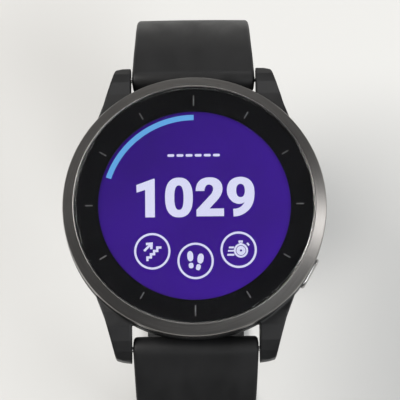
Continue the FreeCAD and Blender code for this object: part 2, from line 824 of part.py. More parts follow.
lo, lo_tools = strap_root(band(lo_path, half_thickness(lo_t), -1), -1)
tip_y, corner = -lo_end[0], 7.0
for s in (1, -1):
    inner = s * (num(strap_w2) / 2 - corner)
    outer = s * (num(strap_w2) / 2 + 0.5)
    block = box(min(inner, outer), max(inner, outer), tip_y - corner, tip_y + 0.5, lo_end[1] - 4, lo_end[1] + 4)
    lo_tools.append(cut(block, cyl(corner, lo_end[1] - 5, lo_end[1] + 5, inner, tip_y - corner)))
for i in range(10):
    (hy, hz), ha = at(lo_path, lo_end[3] - 12.0 - i * num(hole_p))
    half_l = (hole_l - hole_w) / 2
    hole = fuse(
        box(-hole_w / 2, hole_w / 2, -half_l, half_l, -4.0, 4.0),
        cyl(hole_w / 2, -4.0, 4.0, 0.0, half_l),
        cyl(hole_w / 2, -4.0, 4.0, 0.0, -half_l),
    )
    lo_tools.append(placed(hole, -hy, hz, ha))
node(cut(lo, *lo_tools), "lower_strap")


# ---------------------------------------------------------------- spring bars with quick-release pins
def spring_bar(prefix, side):
    y = side * piv_y
    tube = fuse(cyl_x(bar_r, -10.4, 10.4, y, piv_z), cyl_x(tip_r, -12.2, -10.0, y, piv_z))
    tube = cut(
        tube,
        cyl_x(bar_bore, -9.9, 11.0, y, piv_z),
        box(5.85, 8.35, y - 0.42, y + 0.42, piv_z - 1.5, piv_z),
    )
    node(tube, prefix + "_spring_bar")
    lever = cyl(0.35, piv_z - 2.8, piv_z, 7.7, y)
    knob = cyl(0.62, piv_z - 3.1, piv_z - 2.45, 7.7, y)
    node(fuse(cyl_x(0.45, 4.5, 12.2, y, piv_z), lever, knob), prefix + "_release_pin")
    helix = doc.addObject("Part::Helix", uid("Helix"))
    helix.Pitch, helix.Height, helix.Radius = 1.0, 12.3, 0.34
    wire = doc.addObject("Part::Circle", uid("Circle"))
    wire.Radius = 0.08
    wire.Placement = FreeCAD.Placement(V(0.34, 0, 0), FreeCAD.Rotation(V(1, 0, 0), 90))
    coil = doc.addObject("Part::Sweep", uid("Sweep"))
    coil.Sections = [wire]
    coil.Spine = (helix, [])
    coil.Solid, coil.Frenet = True, True
    g = doc.addObject("Part::Compound", uid("Coil"))
    g.Links = [coil]
    g.Placement = FreeCAD.Placement(V(-9.5, 0, 0), FreeCAD.Rotation(V(0, 1, 0), 90))
    put(g, "Placement.Base.y", y)
    put(g, "Placement.Base.z", piv_z)
    node(group(g), prefix + "_bar_spring")


spring_bar("upper", 1)
spring_bar("lower", -1)


# ---------------------------------------------------------------- buckle and keeper, drawn along +Y and turned to the strap's end
def to_end(obj, back=0.0):
    """From the buckle's own frame (bar on X, +Y along the strap, +Z out of its outer face) to the head's frame."""
    (y, z), a = at(up_path, es - back)
    return group(placed(obj, y, z, -a))


node(to_end(cyl_x(bb_r, -bk_out + 0.35, bk_out - 0.35)), "buckle_bar")
reach, rise = num(bk_reach), num(bk_rise)
arm_pts = [(-1.35, -1.15), (0.6, -1.35), (4.2, -0.75), (bk_reach + 0.9, bk_rise - 0.95), (bk_reach + 0.95, bk_rise + 0.65), (bk_reach + 0.2, bk_rise + 0.8), (3.6, 1.15), (0.4, 1.3), (-1.1, 1.1)]
arm_r = padded("YZ_Plane", arm_pts, bk_out - bk_in, bk_in)
arm_l = padded("YZ_Plane", arm_pts, bk_out - bk_in, -bk_out)
cross = cyl_x(0.8, -bk_out, bk_out, bk_reach, bk_rise)
frame = cut(fuse(arm_r, arm_l, cross), cyl_x(bb_r + 0.04, -bk_out + 0.3, bk_out - 0.3))
node(to_end(frame), "buckle_frame")
eye = cyl_x(1.25, -1.0, 1.0)
ang = math.degrees(math.atan2(rise, reach) + math.asin((0.8 + 0.475 + 0.05) / math.hypot(rise, reach)))
shaft = doc.addObject("Part::Fillet", "TongueFillet")
shaft.Base = box(-0.75, 0.75, 0.3, 10.2, -0.475, 0.475)
doc.recompute()
shaft.Edges = [(i + 1, 0.3, 0.3) for i, e in enumerate(shaft.Base.Shape.Edges) if abs(e.Vertexes[0].Y - e.Vertexes[1].Y) > 5]
tongue = cut(fuse(eye, placed(shaft, 0, 0, ang)), cyl_x(bb_r + 0.04, -3.0, 3.0))
node(to_end(tongue), "buckle_tongue")
kx, kb, ku = strap_w2 / 2 + 0.25, -strap_up_t / 2 - 0.3, strap_up_t / 2 + 2.7
rim_box = box(-(kx + keep_t), kx + keep_t, -keep_l / 2, keep_l / 2, kb - keep_t, ku + keep_t)
doc.recompute()
rim = doc.addObject("Part::Fillet", "KeeperFillet")
rim.Base = rim_box
rim.Edges = [(i + 1, 1.2, 1.2) for i, e in enumerate(rim_box.Shape.Edges) if abs(e.Vertexes[0].Y - e.Vertexes[1].Y) > 1]
keeper = cut(rim, box(-kx, kx, -keep_l, keep_l, kb, ku))
node(to_end(keeper, 11.0), "keeper_loop")

# ---------------------------------------------------------------- check and write
doc.recompute()
bad = [o.Label for o in doc.Objects if {"Invalid", "Error"} & set(o.State)]
assert not bad, "failed objects: %s" % bad
labels = [o.Label for o in parts]
assert len(labels) == len(set(labels)), "two nodes share a name"
os.makedirs("parts", exist_ok=True)
for old in os.listdir("parts"):
    if old.endswith(".step") and old[:-5] not in labels:
        os.remove(os.path.join("parts", old))
for o in parts:
    shape = o.Shape
    assert not shape.isNull() and shape.isValid(), "bad shape: " + o.Label
    assert shape.Solids and all(s.isClosed() and s.Volume > 0 for s in shape.Solids), "not closed: " + o.Label
    out = shape.Solids[0] if len(shape.Solids) == 1 else Part.makeCompound(shape.Solids)
    out.exportStep(os.path.join("parts", o.Label + ".step"))
    b = out.BoundBox
    print("%-22s solids %d  volume %9.2f  x %.2f..%.2f  y %.2f..%.2f  z %.2f..%.2f" % (o.Label, len(shape.Solids), out.Volume, b.XMin, b.XMax, b.YMin, b.YMax, b.ZMin, b.ZMax))
print(len(parts), "nodes")
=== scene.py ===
import bpy
import bmesh
import math
import random
import numpy as np
from mathutils import Matrix, Vector


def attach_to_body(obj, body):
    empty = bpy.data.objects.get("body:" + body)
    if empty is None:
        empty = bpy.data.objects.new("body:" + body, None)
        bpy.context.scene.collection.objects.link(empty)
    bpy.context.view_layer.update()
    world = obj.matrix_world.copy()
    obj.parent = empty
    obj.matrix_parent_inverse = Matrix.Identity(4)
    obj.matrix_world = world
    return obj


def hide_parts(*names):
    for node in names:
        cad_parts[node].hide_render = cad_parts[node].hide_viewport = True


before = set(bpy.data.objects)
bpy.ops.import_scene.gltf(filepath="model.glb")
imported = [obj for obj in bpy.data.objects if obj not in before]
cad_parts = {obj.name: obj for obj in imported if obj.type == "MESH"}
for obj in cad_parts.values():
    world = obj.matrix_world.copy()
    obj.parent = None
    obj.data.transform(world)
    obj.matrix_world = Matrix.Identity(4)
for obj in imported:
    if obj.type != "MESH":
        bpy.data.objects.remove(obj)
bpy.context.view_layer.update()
HZ = 74.0
MM = 0.001
SEG = 256


def M(p):
    return (p[0] * MM, p[1] * MM, (p[2] + HZ) * MM)


# ------------------------------------------------------------------ mesh helpers
def make(name, verts, faces, material, body=None, replaces=(), smooth=True, sharp=32.0, lift=True):
    mesh = bpy.data.meshes.new(name)
    conv = M if lift else (lambda p: (p[0] * MM, p[1] * MM, p[2] * MM))
    mesh.from_pydata([conv(v) for v in verts], [], [list(f) for f in faces])
    mesh.validate()
    obj = bpy.data.objects.new(name, mesh)
    bpy.context.scene.collection.objects.link(obj)
    finish_mesh(obj, material, smooth, sharp)
    if body:
        attach(obj, body, replaces)
    return obj


def finish_mesh(obj, material, smooth=True, sharp=32.0):
    mesh = obj.data
    bm = bmesh.new()
    bm.from_mesh(mesh)
    bmesh.ops.remove_doubles(bm, verts=bm.verts, dist=1e-8)
    bmesh.ops.recalc_face_normals(bm, faces=bm.faces)
    limit = math.radians(sharp)
    for f in bm.faces:
        f.smooth = smooth
    for e in bm.edges:
        e.smooth = not (len(e.link_faces) == 2 and e.calc_face_angle(0.0) > limit)
    bm.to_mesh(mesh)
    bm.free()
    mesh.materials.clear()
    mesh.materials.append(material)


def attach(obj, body, replaces=()):
    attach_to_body(obj, body)
    if replaces:
        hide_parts(*replaces)
    return obj


def round_corners(points, radii, steps=5, closed=True):
    """Rounds the corners of a 2-D outline. radii may be one number or one per point."""
    n = len(points)
    if not isinstance(radii, (list, tuple)):
        radii = [radii] * n
    out = []
    for i in range(n):
        p = Vector(points[i])
        r = radii[i]
        if r <= 0 or (not closed and i in (0, n - 1)):
            out.append(tuple(p))
            continue
        a, b = Vector(points[i - 1]), Vector(points[(i + 1) % n])
        u, w = (a - p), (b - p)
        lu, lw = u.length, w.length
        if lu < 1e-9 or lw < 1e-9:
            continue
        u /= lu
        w /= lw
        ang = math.acos(max(-1.0, min(1.0, u.dot(w))))
        if ang > math.pi - 0.02:
            out.append(tuple(p))
            continue
        d = min(r / math.tan(ang / 2), lu * 0.48, lw * 0.48)
        r2 = d * math.tan(ang / 2)
        c = p + (u + w).normalized() * (r2 / math.sin(ang / 2))
        s, e = p + u * d, p + w * d
        a0 = math.atan2(s.y - c.y, s.x - c.x)
        a1 = math.atan2(e.y - c.y, e.x - c.x)
        da = (a1 - a0 + math.pi) % (2 * math.pi) - math.pi
        for k in range(steps + 1):
            t = a0 + da * k / steps
            out.append((c.x + r2 * math.cos(t), c.y + r2 * math.sin(t)))
    return out


def held(loop, gap=0.06, least=0.5):
    """Adds a point close to each end of every long side, so that smooth shading leaves the flats flat."""
    out = []
    for i, p in enumerate(loop):
        q = loop[(i + 1) % len(loop)]
        a, b = Vector(p), Vector(q)
        out.append(tuple(a))
        d = (b - a).length
        if d > least and not (a.x < 1e-6 and b.x < 1e-6):
            u = (b - a) / d
            if a.x > 1e-6:
                out.append(tuple(a + u * gap))
            if b.x > 1e-6:
                out.append(tuple(b - u * gap))
    return out


def lathe(name, profile, material, radii=0.0, seg=None, steps=4, body="watch_head", replaces=(), sharp=32.0, centre=(0, 0)):
    """Turns a closed (radius, height) outline about the head's axis."""
    seg = seg or SEG
    prof = held(round_corners(profile, radii, steps))
    verts, index = [], []
    for r, z in prof:
        if r < 1e-6:
            index.append([len(verts)] * seg)
            verts.append((centre[0], centre[1], z))
            continue
        row = []
        for k in range(seg):
            a = 2 * math.pi * k / seg
            row.append(len(verts))
            verts.append((centre[0] + r * math.cos(a), centre[1] + r * math.sin(a), z))
        index.append(row)
    faces = []
    n = len(prof)
    for i in range(n):
        a, b = index[i], index[(i + 1) % n]
        if prof[i][0] < 1e-6 and prof[(i + 1) % n][0] < 1e-6:
            continue
        for k in range(seg):
            q = []
            for v in (a[k], a[(k + 1) % seg], b[(k + 1) % seg], b[k]):
                if v not in q:
                    q.append(v)
            if len(q) > 2:
                faces.append(q)
    return make(name, verts, faces, material, body, replaces, sharp=sharp)


def outline_normals(pts):
    """Outward unit normals of a closed outline given anticlockwise."""
    n = len(pts)
    out = []
    for i in range(n):
        a, b = Vector(pts[i - 1]), Vector(pts[(i + 1) % n])
        t = (b - a)
        t = t / max(t.length, 1e-9)
        out.append((t.y, -t.x))
    return out


def area2(pts):
    return sum(pts[i - 1][0] * pts[i][1] - pts[i][0] * pts[i - 1][1] for i in range(len(pts))) / 2


def rounded_prism(name, outline, half, rc, place, material, steps=4, half_of=None, crown=None, body=None, replaces=(), cols=0, sharp=35.0):
    """A flat outline given thickness, with rounded rims. place(u, v, w) gives the mm point of outline point (u, v) at depth w.
    half is half the thickness; half_of(i, u, v) can vary it by outline point. crown(w/half) insets the outline across the width."""
    pts = list(outline)
    if area2(pts) < 0:
        pts.reverse()
    nrm = outline_normals(pts)
    if isinstance(rc, (int, float)):
        rc = (rc, rc)
    stations = []
    for k in range(steps + 1):
        t = k / steps * math.pi / 2
        stations.append((-1, rc[0] * (1 - math.sin(t)), rc[0] * (1 - math.cos(t))))
    for k in range(1, cols + 1):
        stations.append((0, k / (cols + 1), 0))
    for k in range(steps, -1, -1):
        t = k / steps * math.pi / 2
        stations.append((1, rc[1] * (1 - math.sin(t)), rc[1] * (1 - math.cos(t))))
    verts, rows = [], []
    n = len(pts)
    for side, d, inset in stations:
        row = []
        for i, (u, v) in enumerate(pts):
            h = half_of(i, u, v) if half_of else half
            if side == 0:
                w = -h + rc[0] + (2 * h - rc[0] - rc[1]) * d
                ins = 0.0
            elif side < 0:
                w, ins = -h + (rc[0] - (rc[0] - inset)) , d
                w = -h + inset
            else:
                w, ins = h - inset, d
            if crown:
                ins += crown(w / h)
            row.append(len(verts))
            verts.append(place(u - nrm[i][0] * ins, v - nrm[i][1] * ins, w))
        rows.append(row)
    faces = []
    for a, b in zip(rows, rows[1:]):
        for i in range(n):
            j = (i + 1) % n
            faces.append((a[i], a[j], b[j], b[i]))
    faces.append(tuple(reversed(rows[0])))
    faces.append(tuple(rows[-1]))
    return make(name, verts, faces, material, body, replaces, sharp=sharp)


def cylinder(name, p0, p1, r, material, seg=32, rc=0.0, body=None, replaces=(), steps=3):
    """A round bar between two mm points with rounded rims."""
    a, b = Vector(p0), Vector(p1)
    axis = (b - a).normalized()
    side = axis.orthogonal().normalized()
    up = axis.cross(side)
    length = (b - a).length
    prof = [(0.0, 0.0)]
    for k in range(steps + 1):
        t = k / steps * math.pi / 2
        prof.append((r - rc + rc * math.sin(t), rc - rc * math.cos(t)))
    for k in range(steps, -1, -1):
        t = k / steps * math.pi / 2
        prof.append((r - rc + rc * math.sin(t), length - rc + rc * math.cos(t)))
    prof.append((0.0, length))
    verts, rows = [], []
    for rr, h in prof:
        c = a + axis * h
        if rr < 1e-6:
            rows.append([len(verts)] * seg)
            verts.append(tuple(c))
            continue
        row = []
        for k in range(seg):
            t = 2 * math.pi * k / seg
            row.append(len(verts))
            verts.append(tuple(c + (side * math.cos(t) + up * math.sin(t)) * rr))
        rows.append(row)
    faces = []
    for x, y in zip(rows, rows[1:]):
        for k in range(seg):
            q = []
            for v in (x[k], x[(k + 1) % seg], y[(k + 1) % seg], y[k]):
                if v not in q:
                    q.append(v)
            if len(q) > 2:
                faces.append(q)
    return make(name, verts, faces, material, body, replaces)


def boolean(obj, cutters, op="DIFFERENCE", sharp=35.0):
    """Applies cutters to obj and removes them."""
    mat = obj.data.materials[0]
    for c in cutters:
        m = obj.modifiers.new("cut", "BOOLEAN")
        m.operation = op
        m.solver = "EXACT"
        m.object = c
    dg = bpy.context.evaluated_depsgraph_get()
    dg.update()
    new = bpy.data.meshes.new_from_object(obj.evaluated_get(dg))
    obj.modifiers.clear()
    old = obj.data
    obj.data = new
    bpy.data.meshes.remove(old)
    for c in cutters:
        d = c.data
        bpy.data.objects.remove(c)
        bpy.data.meshes.remove(d)
    finish_mesh(obj, mat, True, sharp)
    return obj


def baked(obj, sharp=35.0):
    """Applies an object's modifiers."""
    mat = obj.data.materials[0]
    dg = bpy.context.evaluated_depsgraph_get()
    dg.update()
    new = bpy.data.meshes.new_from_object(obj.evaluated_get(dg))
    obj.modifiers.clear()
    obj.data = new
    finish_mesh(obj, mat, True, sharp)
    return obj


# ------------------------------------------------------------------ shader helpers
class Shader:
    def __init__(self, name):
        self.mat = bpy.data.materials.new(name)
        self.mat.use_nodes = True
        self.nt = self.mat.node_tree
        self.n = self.nt.nodes
        self.bsdf = self.n["Principled BSDF"]
        self.coord = None

    def link(self, a, b):
        self.nt.links.new(a, b)

    def set(self, **values):
        for k, v in values.items():
            sock = self.bsdf.inputs[k.replace("_", " ")]
            sock.default_value = v if not isinstance(v, tuple) or len(v) == 4 else (*v, 1.0)
        return self

    def mm(self):
        """Object position in millimetres."""
        if self.coord is None:
            tc = self.n.new("ShaderNodeTexCoord")
            sc = self.n.new("ShaderNodeVectorMath")
            sc.operation = "SCALE"
            sc.inputs["Scale"].default_value = 1000.0
            self.link(tc.outputs["Object"], sc.inputs[0])
            self.coord = sc.outputs[0]
        return self.coord

    def math(self, op, a, b=None, c=None):
        m = self.n.new("ShaderNodeMath")
        m.operation = op
        for i, x in enumerate((a, b, c)):
            if x is None:
                continue
            if isinstance(x, (int, float)):
                m.inputs[i].default_value = x
            else:
                self.link(x, m.inputs[i])
        return m.outputs[0]

    def xyz(self, vec=None):
        s = self.n.new("ShaderNodeSeparateXYZ")
        self.link(vec or self.mm(), s.inputs[0])
        return s.outputs

    def combine(self, x, y, z):
        c = self.n.new("ShaderNodeCombineXYZ")
        for i, v in enumerate((x, y, z)):
            if isinstance(v, (int, float)):
                c.inputs[i].default_value = v
            else:
                self.link(v, c.inputs[i])
        return c.outputs[0]

    def scaled(self, sx, sy, sz, vec=None):
        m = self.n.new("ShaderNodeVectorMath")
        m.operation = "MULTIPLY"
        self.link(vec or self.mm(), m.inputs[0])
        m.inputs[1].default_value = (sx, sy, sz)
        return m.outputs[0]

    def polar(self, ka, kr, kz, cx=0.0, cy=0.0):
        """(angle*ka, radius*kr, z*kz): stretched along circles about the head's axis."""
        o = self.xyz()
        x = self.math("SUBTRACT", o[0], cx)
        y = self.math("SUBTRACT", o[1], cy)
        r = self.math("POWER", self.math("ADD", self.math("MULTIPLY", x, x), self.math("MULTIPLY", y, y)), 0.5)
        a = self.math("ARCTAN2", y, x)
        # sin and cos keep the pattern whole where the angle wraps
        return self.combine(
            self.math("MULTIPLY", self.math("SINE", a), ka),
            self.math("ADD", self.math("MULTIPLY", self.math("COSINE", a), ka), self.math("MULTIPLY", r, kr)),
            self.math("MULTIPLY", o[2], kz),
        ), r, a

    def noise(self, scale, detail=3.0, rough=0.55, vec=None, distortion=0.0):
        t = self.n.new("ShaderNodeTexNoise")
        t.inputs["Scale"].default_value = scale
        t.inputs["Detail"].default_value = detail
        t.inputs["Roughness"].default_value = rough
        t.inputs["Distortion"].default_value = distortion
        self.link(vec or self.mm(), t.inputs["Vector"])
        return t.outputs["Fac"]

    def voronoi(self, scale, vec=None, feature="F1", output="Distance"):
        t = self.n.new("ShaderNodeTexVoronoi")
        t.feature = feature
        t.inputs["Scale"].default_value = scale
        self.link(vec or self.mm(), t.inputs["Vector"])
        return t.outputs[output]

    def ramp(self, fac, stops):
        r = self.n.new("ShaderNodeValToRGB")
        els = r.color_ramp.elements
        while len(els) < len(stops):
            els.new(0.5)
        for e, (pos, col) in zip(els, stops):
            e.position = pos
            e.color = (*col, 1.0) if isinstance(col, tuple) else (col, col, col, 1.0)
        self.link(fac, r.inputs[0])
        return r.outputs["Color"]

    def span(self, fac, a, b, lo=0.3, hi=0.7):
        m = self.n.new("ShaderNodeMapRange")
        m.inputs["From Min"].default_value = lo
        m.inputs["From Max"].default_value = hi
        m.inputs["To Min"].default_value = a
        m.inputs["To Max"].default_value = b
        self.link(fac, m.inputs["Value"])
        return m.outputs[0]

    def mix(self, fac, a, b):
        m = self.n.new("ShaderNodeMix")
        m.data_type = "RGBA"
        for sock, v in ((m.inputs[0], fac), (m.inputs[6], a), (m.inputs[7], b)):
            if isinstance(v, tuple):
                sock.default_value = (*v, 1.0)
            elif isinstance(v, (int, float)):
                sock.default_value = v
            else:
                self.link(v, sock)
        return m.outputs[2]

    def bump(self, height, strength, distance_mm, normal=None):
        b = self.n.new("ShaderNodeBump")
        b.inputs["Strength"].default_value = strength
        b.inputs["Distance"].default_value = distance_mm * MM
        self.link(height, b.inputs["Height"])
        if normal is not None:
            self.link(normal, b.inputs["Normal"])
        return b.outputs["Normal"]

    def to(self, sock, out):
        self.link(out, self.bsdf.inputs[sock])
        return self


def brushed_round(name, base, rough=(0.24, 0.36), aniso=0.65, cx=0.0, cy=0.0, streak=0.5, bump=0.12, polished_lip_highlight=None):
    """Metal turned or brushed round the head's axis. lip = (radius, colour): inside that radius the metal is polished
    and less rough, and its colour is painted lighter, a painted highlight on the inner edge.
    """
    s = Shader(name).set(Metallic=1.0, Anisotropic=aniso, Base_Color=base, Roughness=sum(rough) / 2)
    vec, r, a = s.polar(2.2, 38.0, 30.0, cx, cy)
    fine = s.noise(1.0, 4.0, 0.65, vec)
    vec2, _, _ = s.polar(6.0, 9.0, 8.0, cx, cy)
    broad = s.noise(0.8, 3.0, 0.6, vec2)
    both = s.math("ADD", s.math("MULTIPLY", fine, streak), s.math("MULTIPLY", broad, 1 - streak))
    dark = tuple(c * 0.80 for c in base)
    lite = tuple(min(1.0, c * 1.16) for c in base)
    colour, gloss = s.mix(s.span(both, 0.0, 1.0), dark, lite), s.span(both, *rough)
    # painted highlight: the ring inside the lip radius gets a lighter colour standing in for light caught on the
    # polished inner edge; the lower roughness is the real polish
    if polished_lip_highlight:
        inside = s.span(r, 1.0, 0.0, polished_lip_highlight[0] - 0.03, polished_lip_highlight[0] + 0.03)
        colour = s.mix(inside, colour, polished_lip_highlight[1])
        gloss = s.math("SUBTRACT", gloss, s.math("MULTIPLY", inside, rough[0] - 0.12))
    s.to("Base Color", colour)
    s.to("Roughness", gloss)
    s.to("Normal", s.bump(fine, bump, 0.02))
    tan = s.n.new("ShaderNodeTangent")
    tan.direction_type = "RADIAL"
    tan.axis = "Z"
    s.to("Tangent", tan.outputs[0])
    return s.mat


def brushed_line(name, base, along="x", rough=(0.26, 0.4), aniso=0.5, bump=0.12):
    """Metal brushed in straight lines along a row axis."""
    s = Shader(name).set(Metallic=1.0, Anisotropic=aniso, Base_Color=base, Roughness=sum(rough) / 2)
    k = {"x": (0.25, 14.0, 14.0), "y": (14.0, 0.25, 14.0), "z": (14.0, 14.0, 0.25)}[along]
    fine = s.noise(1.0, 4.0, 0.6, s.scaled(*k))
    broad = s.noise(0.5, 2.0, 0.5)
    s.to("Roughness", s.span(fine, *rough))
    s.to("Base Color", s.mix(s.span(broad, 0.0, 1.0), tuple(c * 0.85 for c in base), tuple(min(1.0, c * 1.12) for c in base)))
    s.to("Normal", s.bump(fine, bump, 0.015))
    return s.mat


def plastic(name, base, rough=(0.42, 0.6), grain=9.0, depth=0.02, strength=0.25, mottle=0.12, wear=0.0, coat=0.0):
    """Moulded polymer: spark-eroded grain, slight mottling, handling marks."""
    s = Shader(name).set(Base_Color=base, Roughness=sum(rough) / 2, Coat_Weight=coat, Specular_IOR_Level=0.28)
    g = s.noise(grain, 2.0, 0.5)
    v = s.voronoi(grain * 0.7)
    big = s.noise(0.16, 3.0, 0.6)
    s.to("Roughness", s.span(s.math("ADD", s.math("MULTIPLY", big, 0.7), s.math("MULTIPLY", g, 0.3)), *rough))
    lo = tuple(c * (1 - mottle) for c in base)
    hi = tuple(min(1.0, c * (1 + mottle) + wear) for c in base)
    s.to("Base Color", s.mix(s.span(big, 0.0, 1.0), lo, hi))
    s.to("Normal", s.bump(s.math("ADD", g, s.math("MULTIPLY", v, 0.6)), strength, depth))
    return s.mat


def silicone(name, base):
    """Soft matte silicone: fine skin grain, faint rubbed lustre, a trace of lint and skin oil."""
    s = Shader(name).set(Base_Color=base, Roughness=0.56, Specular_IOR_Level=0.22)
    s.set(Sheen_Weight=0.02, Sheen_Roughness=0.5)
    grain = s.noise(7.5, 3.0, 0.6)
    pores = s.voronoi(5.0, feature="SMOOTH_F1")
    flow = s.noise(0.22, 4.0, 0.55, s.scaled(1.0, 0.45, 0.45))
    rub = s.noise(0.07, 2.0, 0.5)
    rough = s.math("ADD", s.span(flow, 0.46, 0.62), s.span(rub, -0.07, 0.06))
    s.to("Roughness", rough)
    lite = tuple(c * 1.45 + 0.002 for c in base)
    s.to("Base Color", s.mix(s.span(flow, 0.0, 1.0, 0.35, 0.75), base, lite))
    n1 = s.bump(grain, 0.22, 0.03)
    s.to("Normal", s.bump(pores, 0.18, 0.03, n1))
    return s.mat


# ------------------------------------------------------------------ materials
# the bezel's lip colour (0.36, 0.35, 0.34) is a painted highlight on the polished inner edge
STEEL = brushed_round("bezel_steel", (0.30, 0.288, 0.276), (0.28, 0.40), 0.5, bump=0.05, polished_lip_highlight=(20.78, (0.36, 0.35, 0.34)))
POLY = plastic("case_polymer", (0.0070, 0.0070, 0.0075), (0.38, 0.52), 11.0, 0.02, 0.3, 0.18, 0.002)
REAR = plastic("cover_polymer", (0.015, 0.015, 0.016), (0.36, 0.55), 10.0, 0.02, 0.3, 0.15, 0.002)
HOLDER = plastic("holder_black", (0.035, 0.035, 0.038), (0.4, 0.6), 6.0, 0.02, 0.2)
SILICONE = silicone("silicone_black", (0.0066, 0.0066, 0.0070))
SEAL = plastic("seal_rubber", (0.22, 0.035, 0.022), (0.45, 0.6), 8.0, 0.01, 0.2)
ADHESIVE = plastic("adhesive", (0.015, 0.015, 0.015), (0.6, 0.8), 12.0, 0.02, 0.5)
BARS = brushed_line("hardware_steel", (0.56, 0.55, 0.54), "x", (0.22, 0.36))
BUCKLE = brushed_line("buckle_steel", (0.30, 0.295, 0.29), "x", (0.24, 0.38))
BUTTON = brushed_line("button_steel", (0.42, 0.41, 0.40), "z", (0.20, 0.32))
CAN = brushed_line("can_nickel", (0.62, 0.60, 0.55), "x", (0.25, 0.4))
CHIP = plastic("chip_black", (0.02, 0.02, 0.024), (0.25, 0.4), 8.0, 0.01, 0.15)
MOTOR = brushed_round("motor_steel", (0.52, 0.52, 0.53), (0.2, 0.35), 0.5, 3.5, 14.2)
TUNGSTEN = plastic("tungsten", (0.14, 0.14, 0.145), (0.45, 0.6), 6.0, 0.03, 0.4)
GOLD = brushed_line("contact_gold", (0.86, 0.60, 0.24), "z", (0.16, 0.28), 0.2, 0.05)
COPPER = brushed_line("antenna_copper", (0.78, 0.42, 0.25), "z", (0.22, 0.4), 0.2)
FLEX = plastic("flex_amber", (0.42, 0.15, 0.015), (0.2, 0.32), 4.0, 0.01, 0.1)
VENT = plastic("vent_membrane", (0.7, 0.7, 0.68), (0.7, 0.9), 14.0, 0.03, 0.6)


def board_mat():
    s = Shader("board_green").set(Base_Color=(0.012, 0.085, 0.04), Roughness=0.34, Coat_Weight=0.35)
    o = s.xyz()
    fine = s.noise(6.0, 2.0, 0.5)
    bx = s.math("GREATER_THAN", s.math("FRACT", s.math("MULTIPLY", s.math("ADD", o[0], s.math("MULTIPLY", o[1], 0.0)), 1.25)), 0.8)
    by = s.math("GREATER_THAN", s.math("FRACT", s.math("MULTIPLY", o[1], 1.25)), 0.8)
    blocks = s.math("GREATER_THAN", s.noise(0.22, 0.0, 0.5), 0.5)
    tr = s.math("ADD", s.math("MULTIPLY", bx, blocks), s.math("MULTIPLY", by, s.math("SUBTRACT", 1.0, blocks)))
    s.to("Base Color", s.mix(s.math("MULTIPLY", tr, 0.55), (0.012, 0.085, 0.04), (0.03, 0.17, 0.075)))
    s.to("Roughness", s.span(fine, 0.26, 0.44))
    s.to("Normal", s.bump(tr, 0.3, 0.03))
    return s.mat


def foil_mat():
    s = Shader("cell_foil").set(Metallic=0.85, Base_Color=(0.55, 0.56, 0.58), Roughness=0.33)
    crease = s.noise(0.35, 5.0, 0.6, None, 0.6)
    fine = s.noise(3.0, 3.0, 0.5)
    s.to("Roughness", s.span(crease, 0.24, 0.42))
    s.to("Normal", s.bump(s.math("ADD", crease, s.math("MULTIPLY", fine, 0.15)), 0.35, 0.25))
    return s.mat


BOARD = board_mat()
FOIL = foil_mat()


def glass_mat():
    s = Shader("cover_glass").set(Base_Color=(0.97, 0.98, 1.0), Roughness=0.01, IOR=1.36, Transmission_Weight=1.0)
    smear = s.noise(0.11, 4.0, 0.6, None, 0.8)
    dust = s.noise(2.2, 2.0, 0.5)
    s.to("Roughness", s.math("ADD", s.span(smear, 0.004, 0.016, 0.45, 0.75), s.span(dust, 0.0, 0.006, 0.6, 0.8)))
    return s.mat


GLASS = glass_mat()


def print_black():
    s = Shader("dial_black").set(Base_Color=(0.0030, 0.0030, 0.0033), Roughness=0.34, Specular_IOR_Level=0.04)
    n = s.noise(5.0, 2.0, 0.5)
    big = s.noise(0.2, 2.0, 0.5)
    s.to("Roughness", s.span(big, 0.26, 0.42))
    s.to("Base Color", s.mix(s.span(n, 0.0, 1.0), (0.0022, 0.0022, 0.0025), (0.0042, 0.0042, 0.0046)))
    return s.mat


DIAL = print_black()


def lit(name, core, strength, dim=0.10, pixels=0.10, grad=0.0):
    """A lit area of the display: colour with a fine pixel lattice and a slight fall-off."""
    s = Shader(name).set(Base_Color=(0.003, 0.003, 0.004), Roughness=0.25, Specular_IOR_Level=0.04, Emission_Strength=strength, Emission_Color=core)
    o = s.xyz()
    k = 2 * math.pi / 0.0795
    gx = s.math("COSINE", s.math("MULTIPLY", o[0], k))
    gy = s.math("COSINE", s.math("MULTIPLY", o[1], k))
    lattice = s.span(s.math("MULTIPLY", s.math("ADD", gx, gy), 0.25), -pixels, pixels, -0.5, 0.5)
    cloud = s.span(s.noise(0.09, 2.0, 0.5), -dim, dim)
    r = s.math("POWER", s.math("ADD", s.math("MULTIPLY", o[0], o[0]), s.math("MULTIPLY", o[1], o[1])), 0.5)
    edge = s.span(r, 0.0, -0.30, 15.9, 16.6)
    tilt = s.math("MULTIPLY", s.math("SUBTRACT", o[0], o[1]), grad)
    total = s.math("ADD", s.math("ADD", s.math("ADD", s.math("ADD", 1.0, lattice), cloud), edge), tilt)
    c = s.n.new("ShaderNodeVectorMath")
    c.operation = "SCALE"
    c.inputs[0].default_value = core
    s.link(total, c.inputs["Scale"])
    s.to("Emission Color", c.outputs[0])
    return s.mat


SCREEN = lit("display_lit", (0.038, 0.0065, 0.232), 1.0, 0.09, 0.05, 0.006)
INK = lit("display_digits", (0.73, 0.735, 0.94), 1.0, 0.02, 0.03)
ARC = lit("display_arc", (0.13, 0.40, 0.78), 1.0, 0.03, 0.03)


def tick_mat():
    s = Shader("dial_marks").set(Base_Color=(0.19, 0.19, 0.18), Roughness=0.45)
    n = s.noise(6.0, 2.0, 0.5)
    s.to("Base Color", s.mix(s.span(n, 0.0, 1.0), (0.13, 0.13, 0.125), (0.23, 0.23, 0.22)))
    s.to("Roughness", s.span(n, 0.35, 0.55))
    return s.mat


TICKS = tick_mat()


